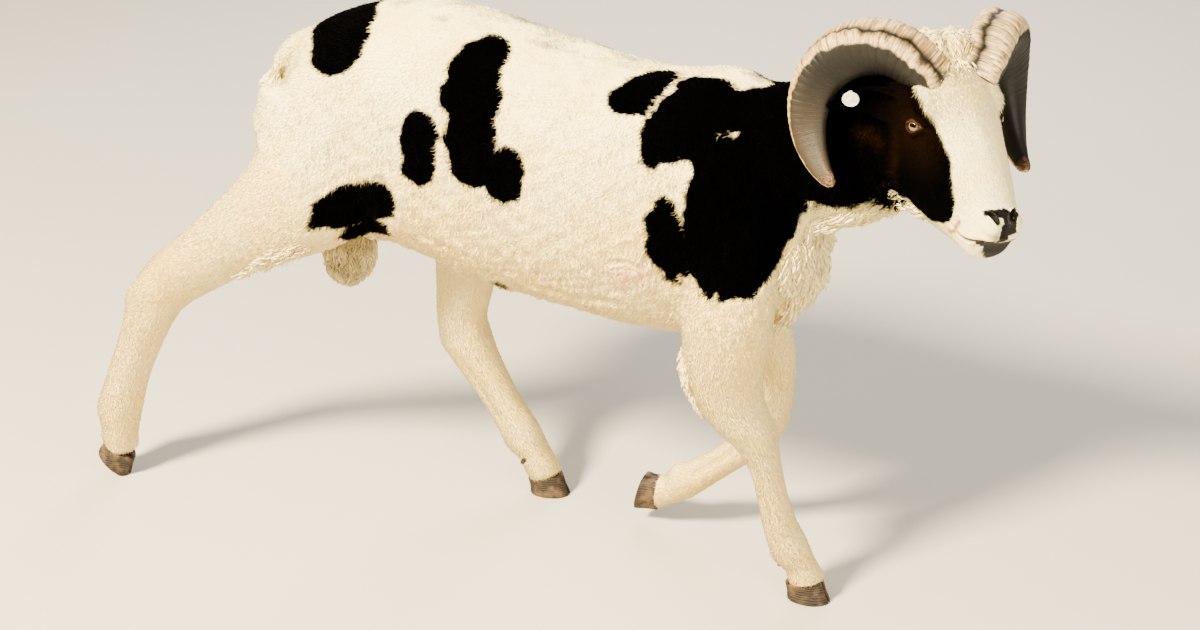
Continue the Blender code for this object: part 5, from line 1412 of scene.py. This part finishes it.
def lieField(points, normals, shares, flows):
    # where the hair points: down and back on the body, down the limbs, out along the ears, down the face
    x, y, z = toHead(points).T
    onBody = shares["trunk"] + shares["neck"]
    lie = onBody[:, None] * np.array(coatSet["bodyLie"])
    for name in (*limbNames, "tail", "scrotum", "earLeft", "earRight"):
        lie += shares[name][:, None] * flows[name] * coatSet["limbLie"]
    top = smoothStep(-0.055, -0.015, z - 0.3 * np.abs(y))
    faceLie = top[:, None] * np.array(coatSet["noseLie"]) + (1 - top)[:, None] * np.array(coatSet["cheekLie"])
    faceLie[:, 1] += 0.35 * np.sign(y) * top * smoothStep(0.01, 0.04, np.abs(y))
    faceLie[x < 0.03] += np.array(coatSet["pollLie"])
    lie += shares["head"][:, None] * (faceLie @ headTurn)
    swirl = np.stack([waveNoise(points, 0.045, 11 + axis) for axis in range(3)], axis=1)
    lie += swirl * (0.25 * onBody + 0.08)[:, None]
    lie -= normals * dots(lie, normals)[:, None]
    return unit(lie)


# where each region lies on the map for baking: left, low, wide, high
chartSet = {
    "trunk": (0.02, 0.02, 0.96, 0.44), "neck": (0.02, 0.48, 0.30, 0.22), "head": (0.34, 0.48, 0.40, 0.22),
    "tail": (0.76, 0.48, 0.10, 0.22), "scrotum": (0.88, 0.48, 0.10, 0.22), "foreRight": (0.02, 0.72, 0.22, 0.26),
    "foreLeft": (0.26, 0.72, 0.22, 0.26), "hindRight": (0.50, 0.72, 0.22, 0.26), "hindLeft": (0.74, 0.72, 0.12, 0.26),
    "earLeft": (0.88, 0.72, 0.10, 0.12), "earRight": (0.88, 0.86, 0.10, 0.12),
}


def rootChart(points, shares):
    # an unwrap of the skin's own shape: each region laid out round its own line
    owner = np.argmax(np.array([shares[name] for name in guides]), axis=0)
    chart = np.zeros((len(points), 3))
    for number, name in enumerate(guides):
        mine = owner == number
        off, heading, along = onGuide(points[mine], name)
        across = unit(np.cross(heading, (0.31, 0.12, 0.94)))
        angle = np.arctan2(dots(off, np.cross(heading, across)), dots(off, across))
        left, low, wide, high = chartSet[name]
        chart[mine, 0] = left + wide * np.clip(along / len(guides[name][0]), 0, 1)
        chart[mine, 1] = low + high * (angle / (2 * math.pi) + 0.5)
    return chart


def longShare(points, local):
    length = np.zeros(len(points))
    for places, frameOf in (("longWool", points), ("jawWool", local), ("pollWool", local)):
        for place, radius, size in coatSet[places]:
            length = np.maximum(length, size * smoothStep(1.35 * radius, 0.75 * radius, distances(frameOf, place)))
    return length


def dressSkin(skin, marks):
    # the fields that the coat's tree reads, on the skin's points; returns where each piece grows
    points, normals = readVectors(skin), readVectors(skin, "normal")
    local = toHead(points)
    shares, flows = regionShares(points)
    leg = shares["limbs"] * smoothStep(0.44, 0.37, points[:, 2])
    head, ears = shares["head"], shares["ears"]
    body = np.clip(1 - leg - head - ears, 0, 1)
    length = (coatSet["fleece"]["length"] * body + coatSet["legs"]["length"] * leg
              + coatSet["face"]["length"] * head + coatSet["earLength"] * ears)
    length *= 1.0 + 0.15 * smoothStep(0.50, 0.40, points[:, 2]) * body
    length += (coatSet["browLength"] * smoothStep(0.14, 0.05, local[:, 0]) * head
               * smoothStep(-0.06, -0.02, local[:, 2]))
    # no hair on the nose, the lips, the lids' rims, the claws' seats and under the tag, and short hair near them
    fine = np.zeros(len(points))
    bald = np.maximum(smoothStep(0.3, 0.7, marks["nose"]), 0.8 * smoothStep(0.6, 0.9, marks["lip"]))
    for side in (1, -1):
        share, reach, *_ = lidShare(local, side)
        fine = np.maximum(fine, smoothStep(0.030, 0.016, reach))
        bald = np.maximum(bald, smoothStep(1.45, 1.25, share) * (reach < 0.022))
        bald = np.maximum(bald, smoothStep(1.6, 1.25, nostrilShare(local, side)))
    atMouth = inHeadBox(local, (0.19, 9), 0.05, (-0.12, -0.02))
    bald = np.maximum(bald, smoothStep(0.0032, 0.0018, np.abs(mouthDistance(local))) * atMouth)
    fine = np.maximum(fine, smoothStep(0.19, 0.235, local[:, 0]) * head)
    length *= 1.0 - coatSet["nearMouth"] * fine
    for name in feetSet:
        place, normal = coronetPlane(name)
        bald[(distances(points, place) < 0.05) & ((points - place) @ normal < 0.0010)] = 1.0
    bald = np.maximum(bald, smoothStep(0.0150, 0.0115, distances(local, tagFrame()[0])) * ears)
    long = longShare(points, local)
    wool = smoothStep(0.006, 0.015, long)
    length = np.maximum(length, long)
    width = np.where(leg > 0.5, coatSet["legs"]["width"], coatSet["fleece"]["width"])
    width = np.where(head + ears > 0.5, coatSet["face"]["width"], width)
    width = np.where(wool > 0.5, coatSet["wool"]["width"], width)
    writeMark(skin, "lie", lieField(points, normals, shares, flows))
    writeMark(skin, "rootMap", rootChart(points, shares))
    writeMark(skin, "coatLength", length)
    writeMark(skin, "coatWidth", length * width)
    grows = 1 - bald
    short = 1 - wool
    woolly = wool * (1 - 0.7 * (head > 0.5) * smoothStep(0.016, 0.013, long))
    onRight, rear, neck = points[:, 1] < floorShift[1], points[:, 0] < -0.06, shares["neck"] > 0.5
    chest = (points[:, 0] > 0.30) & (head < 0.5)
    fore = shares["foreRight"] + shares["foreLeft"] > shares["hindRight"] + shares["hindLeft"]
    masks = {}
    for end, there in (("rear", rear), ("front", ~rear)):
        for side, here in (("right", onRight), ("left", ~onRight)):
            masks[f"fleece_{end}_{side}"] = body * short * grows * (here & there & ~neck)
    masks["fleece_neck"] = body * short * grows * neck
    for end, there in (("fore", fore), ("hind", ~fore)):
        rightLeg = shares[f"{end}Right"] >= shares[f"{end}Left"]
        for side, here in (("right", rightLeg), ("left", ~rightLeg)):
            masks[f"hair_leg_{end}_{side}"] = leg * short * grows * there * here
    for side, here in (("right", local[:, 1] < 0), ("left", local[:, 1] >= 0)):
        masks[f"hair_face_{side}"] = head * grows * here * (1 - woolly)
    masks["hair_ears"] = ears * grows
    masks["wool_chest"] = woolly * grows * chest
    masks["wool_fringes"] = woolly * grows * ~chest
    return masks


def tuftShape(seed, levels, curl):
    # a tuft one unit long along X, one wide and one high, that leaves the skin and bends over to its lie
    draw = np.random.default_rng(seed)
    sides = 3
    bend = draw.uniform(-1, 1) * 0.16
    phase = draw.uniform(0, 6.28)
    share = np.append(np.linspace(0, 1, levels + 1)[:-1] ** 0.9, 1.0)
    along = share ** 1.15
    rise = -0.22 + 1.22 * (1 - (1 - share) ** 2) * draw.uniform(0.85, 1.1) - 0.25 * share ** 3
    swing = bend * share ** 2 + curl * np.sin(share * 7.5 + phase) * share
    taper = (1 - share ** 2.2) * 0.5
    turn = 2 * math.pi * np.arange(sides) / sides + math.pi / 2
    points = []
    for ring in range(levels):
        points += [(along[ring], swing[ring] + math.cos(angle) * taper[ring],
                    rise[ring] + math.sin(angle) * taper[ring] * 0.75) for angle in turn]
    points.append((along[-1], swing[-1], rise[-1]))
    quads = tubeFaces(levels, sides)
    last = (levels - 1) * sides + np.arange(sides)
    tip = np.stack([last, np.roll(last, -1), np.full(sides, levels * sides)], axis=1)
    triangles = np.vstack([np.hstack([quads[:, :3], quads[:, [0, 2, 3]]]).reshape(-1, 3), tip])
    tuft = meshFromArrays(f"tuft_{seed}", np.array(points), triangles)
    tipward = np.append(np.repeat(share[:-1], sides), 1.0)
    around = np.append(np.tile(np.arange(sides) / sides, levels), 0.5)
    writeMark(tuft, "tipward", tipward)
    writeMark(tuft, "tuftMap", np.stack([around, tipward, np.zeros(len(around))], axis=1))
    return tuft


def tuftCollection(name, kinds, levels, curl):
    holder = bpy.data.collections.new(name)
    for number in range(kinds):
        tuft = tuftShape(100 * levels + 10 + number, levels, curl)
        bpy.context.scene.collection.objects.unlink(tuft)
        holder.objects.link(tuft)
    return holder


def coatTree():
    tree = bpy.data.node_groups.new("coat_of_tufts", "GeometryNodeTree")
    sockets = {}
    for name, kind in (("Skin", "Geometry"), ("Tufts", "Collection"), ("Spacing", "Float"), ("Lift", "Float"),
                       ("Spread", "Float"), ("Uneven", "Float"), ("Patch Size", "Float"), ("Seed", "Int"),
                       ("Material", "Material")):
        sockets[name] = tree.interface.new_socket(name=name, in_out="INPUT", socket_type="NodeSocket" + kind).identifier
    tree.interface.new_socket(name="Coat", in_out="OUTPUT", socket_type="NodeSocketGeometry")
    given = addNode(tree, "NodeGroupInput").node.outputs
    marks = {name: addNode(tree, "GeometryNodeInputNamedAttribute", {"Name": name}, data_type=kind)
             for name, kind in (("scatter", "FLOAT"), ("coatLength", "FLOAT"), ("coatWidth", "FLOAT"),
                                ("lie", "FLOAT_VECTOR"), ("tuftMap", "FLOAT_VECTOR"), ("rootMap", "FLOAT_VECTOR"))}
    # one random number for each root, and its range; the seed is the piece's own, moved on for each of them
    chance = {}
    for number, (name, low, high) in enumerate((
            ("roll", -0.25, 0.25), ("pitch", -0.16, 0.10), ("yaw", -1.0, 1.0), ("length", -1.0, 1.0),
            ("width", 0.8, 1.25), ("height", 0.7, 1.2), ("kind", 0.0, 999.0), ("shade", 0.0, 1.0)), start=1):
        seed = addNode(tree, "ShaderNodeMath", [given["Seed"], float(number)], operation="ADD")
        chance[name] = addNode(tree, "FunctionNodeRandomValue", [low, high, None, seed], data_type="FLOAT")
    square = addNode(tree, "ShaderNodeMath", [given["Spacing"], given["Spacing"]], operation="MULTIPLY")
    density = addNode(tree, "ShaderNodeMath", [1.6, square], operation="DIVIDE")
    roots = addNode(tree, "GeometryNodeDistributePointsOnFaces", {
        "Mesh": given["Skin"], "Distance Min": given["Spacing"], "Density Max": density,
        "Density Factor": marks["scatter"], "Seed": given["Seed"]}, distribute_method="POISSON").node.outputs
    turned = addNode(tree, "FunctionNodeAlignRotationToVector", {"Rotation": roots["Rotation"], "Vector": marks["lie"]},
                     axis="X", pivot_axis="Z")
    yaw = addNode(tree, "ShaderNodeMath", [given["Spread"], chance["yaw"]], operation="MULTIPLY")
    jitter = addNode(tree, "ShaderNodeCombineXYZ", [chance["roll"], chance["pitch"], yaw])
    jitter = addNode(tree, "FunctionNodeEulerToRotation", {"Euler": jitter})
    turned = addNode(tree, "FunctionNodeRotateRotation", {"Rotation": turned, "Rotate By": jitter},
                     rotation_space="LOCAL")
    vary = addNode(tree, "ShaderNodeMath", [given["Uneven"], chance["length"]], operation="MULTIPLY")
    vary = addNode(tree, "ShaderNodeMath", [1.0, vary], operation="ADD")
    length = addNode(tree, "ShaderNodeMath", [marks["coatLength"], vary], operation="MULTIPLY")
    width = addNode(tree, "ShaderNodeMath", [marks["coatWidth"], chance["width"]], operation="MULTIPLY")
    height = addNode(tree, "ShaderNodeMath", [given["Lift"], chance["height"]], operation="MULTIPLY")
    height = addNode(tree, "ShaderNodeMath", [length, height], operation="MULTIPLY")
    kinds = addNode(tree, "GeometryNodeCollectionInfo", {"Collection": given["Tufts"], "Separate Children": True,
                                                         "Reset Children": True})
    placed = addNode(tree, "GeometryNodeInstanceOnPoints", {
        "Points": roots["Points"], "Instance": kinds, "Pick Instance": True, "Instance Index": chance["kind"],
        "Rotation": turned, "Scale": addNode(tree, "ShaderNodeCombineXYZ", [length, width, height])})
    shaded = addNode(tree, "GeometryNodeStoreNamedAttribute", {"Geometry": placed, "Name": "shade",
                                                               "Value": chance["shade"]},
                     data_type="FLOAT", domain="INSTANCE")
    real = addNode(tree, "GeometryNodeRealizeInstances", {"Geometry": shaded})
    # each tuft's patch on the map for baking lies at its root's place
    onMap = addNode(tree, "ShaderNodeVectorMath", [marks["tuftMap"], (0.5, 0.5, 0.0)], operation="SUBTRACT")
    onMap = addNode(tree, "ShaderNodeVectorMath", {0: onMap, "Scale": given["Patch Size"]}, operation="SCALE")
    onMap = addNode(tree, "ShaderNodeVectorMath", [marks["rootMap"], onMap], operation="ADD")
    mapped = addNode(tree, "GeometryNodeStoreNamedAttribute", {"Geometry": real, "Name": "OFBake", "Value": onMap},
                     data_type="FLOAT2", domain="CORNER")
    coloured = addNode(tree, "GeometryNodeSetMaterial", {"Geometry": mapped, "Material": given["Material"]})
    addNode(tree, "NodeGroupOutput", {"Coat": coloured})
    return tree, sockets


def makeCoatPiece(name, skin, mask, tree, sockets, kind, tufts, material, seed):
    writeMark(skin, "scatter", mask)
    piece = bpy.data.objects.new(name, skin.data.copy())
    bpy.context.scene.collection.objects.link(piece)
    piece.data.materials.clear()
    grow = piece.modifiers.new("coat", "NODES")
    grow.node_group = tree
    values = {"Tufts": tufts, "Spacing": coatSet[kind]["spacing"] * 1.0,
              "Lift": coatSet[kind]["lift"], "Spread": coatSet[kind]["spread"], "Uneven": coatSet["uneven"],
              "Patch Size": coatSet["patchSize"], "Seed": seed, "Material": material}
    for socket, value in values.items():
        grow[sockets[socket]] = value
    bakeModifiers(piece)
    dropMarks(skin, "scatter")
    dropMarks(piece, "lie", "rootMap", "tuftMap", "scatter", "coatLength", "coatWidth", "rim")
    piece.data.polygons.foreach_set("use_smooth", np.full(len(piece.data.polygons), True))
    report(f"{name}: {len(piece.data.polygons)} triangles")
    return piece


def makeCoatMaterial(name, roughness, sheen):
    # wool and hair: matt fibres with a soft sheen at the edges, paler at the tips; black wool traps the light
    material, tree, place, _ = startMaterial(name)
    colour, fine, marks = hairPattern(tree, place, True)
    pale = addNode(tree, "ShaderNodeMapRange", [marks["patch"], -0.001, 0.001, 0.01, 0.20])
    return finishMaterial(material, {"Base Color": colour, "Roughness": roughness, "Sheen Weight": sheen,
                                     "Sheen Roughness": 0.5, "Specular IOR Level": pale}, fine, 0.25, 0.001)


# putting the animal together
fleshNodes = ["torso", "neck", "head", "tail", "scrotum", "ear_left", "ear_right"]
fleshNodes += [f"{leg}leg_{side}_{part}" for leg in ("fore", "hind") for side in ("right", "left")
               for part in ("upper", "lower")]
clawNodes = {"foreRight": "fore_right", "foreLeft": "fore_left", "hindRight": "hind_right", "hindLeft": "hind_left"}


def finishPiece(piece, slotName, material=None, nodes=()):
    if material is not None:
        piece.data.materials.clear()
        piece.data.materials.append(material)
    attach(piece, "root")
    if nodes:
        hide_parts(*nodes)


skin = makeSkin()
refineFace(skin)
shapeFace(skin)
# long edges along the border of a patch are split, so that the border runs clean
splitLongEdges(skin, [(0.0034, lambda points: np.abs(markings(points)["patch"]) < 0.008)])
report(f"patch edges made finer, {len(skin.data.polygons)} triangles")
masks = dressSkin(skin, markSkin(skin))
report("skin marked")

fleeceMaterial = makeCoatMaterial("fleece_shorn", 0.92, 0.008)
hairMaterial = makeCoatMaterial("hair_short", 0.85, 0.005)
woolMaterial = makeCoatMaterial("wool_long", 0.92, 0.01)
fineTufts = tuftCollection("tufts_fine", 6, 1, 0.0)
longTufts = tuftCollection("tufts_long", 12, 3, 0.45)
tree, sockets = coatTree()
coatKinds = {  # by the start of the piece's name
    "fleece": ("fleece", fineTufts, fleeceMaterial, "wool_white"),
    "wool": ("wool", longTufts, woolMaterial, "wool_white"),
    "hair_leg": ("legs", fineTufts, hairMaterial, "leg_hair"),
    "hair": ("face", fineTufts, hairMaterial, "face_hair"),
}
for seed, (pieceName, mask) in enumerate(masks.items(), start=3):
    kind, tufts, material, slotName = next(row for start, row in coatKinds.items() if pieceName.startswith(start))
    finishPiece(makeCoatPiece(pieceName, skin, mask, tree, sockets, kind, tufts, material, seed), slotName)
for holder in (fineTufts, longTufts):
    for tuft in list(holder.objects):
        bpy.data.objects.remove(tuft)
    bpy.data.collections.remove(holder)
dropMarks(skin, "lie", "rootMap", "coatLength", "coatWidth")
finishPiece(skin, "face_hair", makeHideMaterial(), fleshNodes)

for side, label in ((1, "left"), (-1, "right")):
    finishPiece(makeHorn(side, f"horn_curl_{label}"), "horn_keratin", makeHornMaterial(side), [f"horn_{label}"])
    finishPiece(makeEye(side, f"eyeball_{label}"), "eye_gloss", makeEyeMaterial(), [f"eye_{label}"])
report("horns and eyes made")

clawMaterial = makeClawMaterial()
for foot, label in clawNodes.items():
    for side, sideName in ((1, "left"), (-1, "right")):
        claw = meshFromArrays(f"claw_{label}_{sideName}", *clawShape(foot, side))
        finishPiece(claw, "claw_keratin", clawMaterial, [f"{label}_claw_{sideName}"])
dew = meshFromArrays("dew_claws", *joinShapes([shape for foot in feetSet for shape in dewClawShapes(foot)]))
finishPiece(dew, "claw_keratin", clawMaterial)
finishPiece(makeTag(), "tag_plastic", makeTagMaterial(), ["ear_tag"])
report("claws and tag made")


# floor, light and camera
stageSet = {
    "azimuth": 22.57, "elevation": 23.76, "distance": 2.9065, "aim": (0.0503, 0.0, 0.3286), "lens": 66.0,
    "floor": "CFCAC0", "floorLight": "D6D2C9",
    "lit": (0.05, 0.0, 0.45),  # what the lamps are aimed at
    "key": {"place": (-1.5, -3.2, 3.4), "size": 1.0, "power": 850.0, "colour": "FFEFCB"},
    "fill": {"place": (3.2, -2.2, 1.8), "size": 2.6, "power": 130.0, "colour": "FFF8EA"},
    "rim": {"place": (-0.6, 3.2, 2.6), "size": 2.0, "power": 90.0, "colour": "FFFFFF"},
    "world": "E0DCD4",
    "worldStrength": 0.40,
}


def aimAt(thing, place, target):
    thing.location = Vector(place)
    thing.rotation_mode = "QUATERNION"
    thing.rotation_quaternion = (Vector(target) - Vector(place)).to_track_quat("-Z", "Y")


def addHolder(name, content):
    holder = bpy.data.objects.new(name, content)
    bpy.context.scene.collection.objects.link(holder)
    return holder


def makeStage():
    count = 60
    angle = turns(count)
    rings = [np.column_stack([radius * np.cos(angle), radius * np.sin(angle), np.full(count, -0.0005)])
             for radius in (0.5, 3.0, 12.0)]
    points = np.vstack(rings + [[[0, 0, -0.0005]]])
    fan = np.stack([np.arange(count), (np.arange(count) + 1) % count, np.full(count, 3 * count)], axis=1)
    quads = tubeFaces(3, count)
    floor = meshFromArrays("floor", points, np.vstack([fan, quads[:, [0, 2, 1]], quads[:, [0, 3, 2]]]))
    material, tree, place, _ = startMaterial("plaster_floor_pale")  # matt painted floor
    cloud = addNode(tree, "ShaderNodeTexNoise", [place, 1.3, 3.0])
    colour = addNode(tree, "ShaderNodeMix", [cloud, hexColour(stageSet["floor"]), hexColour(stageSet["floorLight"])],
                     data_type="RGBA")
    floor.data.materials.append(finishMaterial(material, {"Base Color": colour, "Roughness": 0.9}))
    for name in ("key", "fill", "rim"):
        lamp = bpy.data.lights.new(name, "AREA")
        lamp.shape = "DISK"
        lamp.size = stageSet[name]["size"]
        lamp.energy = stageSet[name]["power"]
        lamp.color = hexColour(stageSet[name]["colour"])[:3]
        aimAt(addHolder(name, lamp), stageSet[name]["place"], stageSet["lit"])
    world = bpy.data.worlds.new("studio")
    bpy.context.scene.world = world
    world.use_nodes = True
    backdrop = world.node_tree.nodes["Background"]
    backdrop.inputs["Color"].default_value = hexColour(stageSet["world"])
    backdrop.inputs["Strength"].default_value = stageSet["worldStrength"]
    camera = bpy.data.cameras.new("camera")
    camera.lens, camera.sensor_width = stageSet["lens"], 36.0
    azimuth, elevation = math.radians(stageSet["azimuth"]), math.radians(stageSet["elevation"])
    back = Vector((math.sin(azimuth) * math.cos(elevation), -math.cos(azimuth) * math.cos(elevation),
                   math.sin(elevation)))
    aim = Vector(stageSet["aim"]) + Vector(floorShift)
    bpy.context.scene.camera = addHolder("camera", camera)
    aimAt(bpy.context.scene.camera, aim + back * stageSet["distance"], aim)
    bpy.context.scene.view_settings.look = "AgX - Medium High Contrast"


makeStage()
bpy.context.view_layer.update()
report("finished")
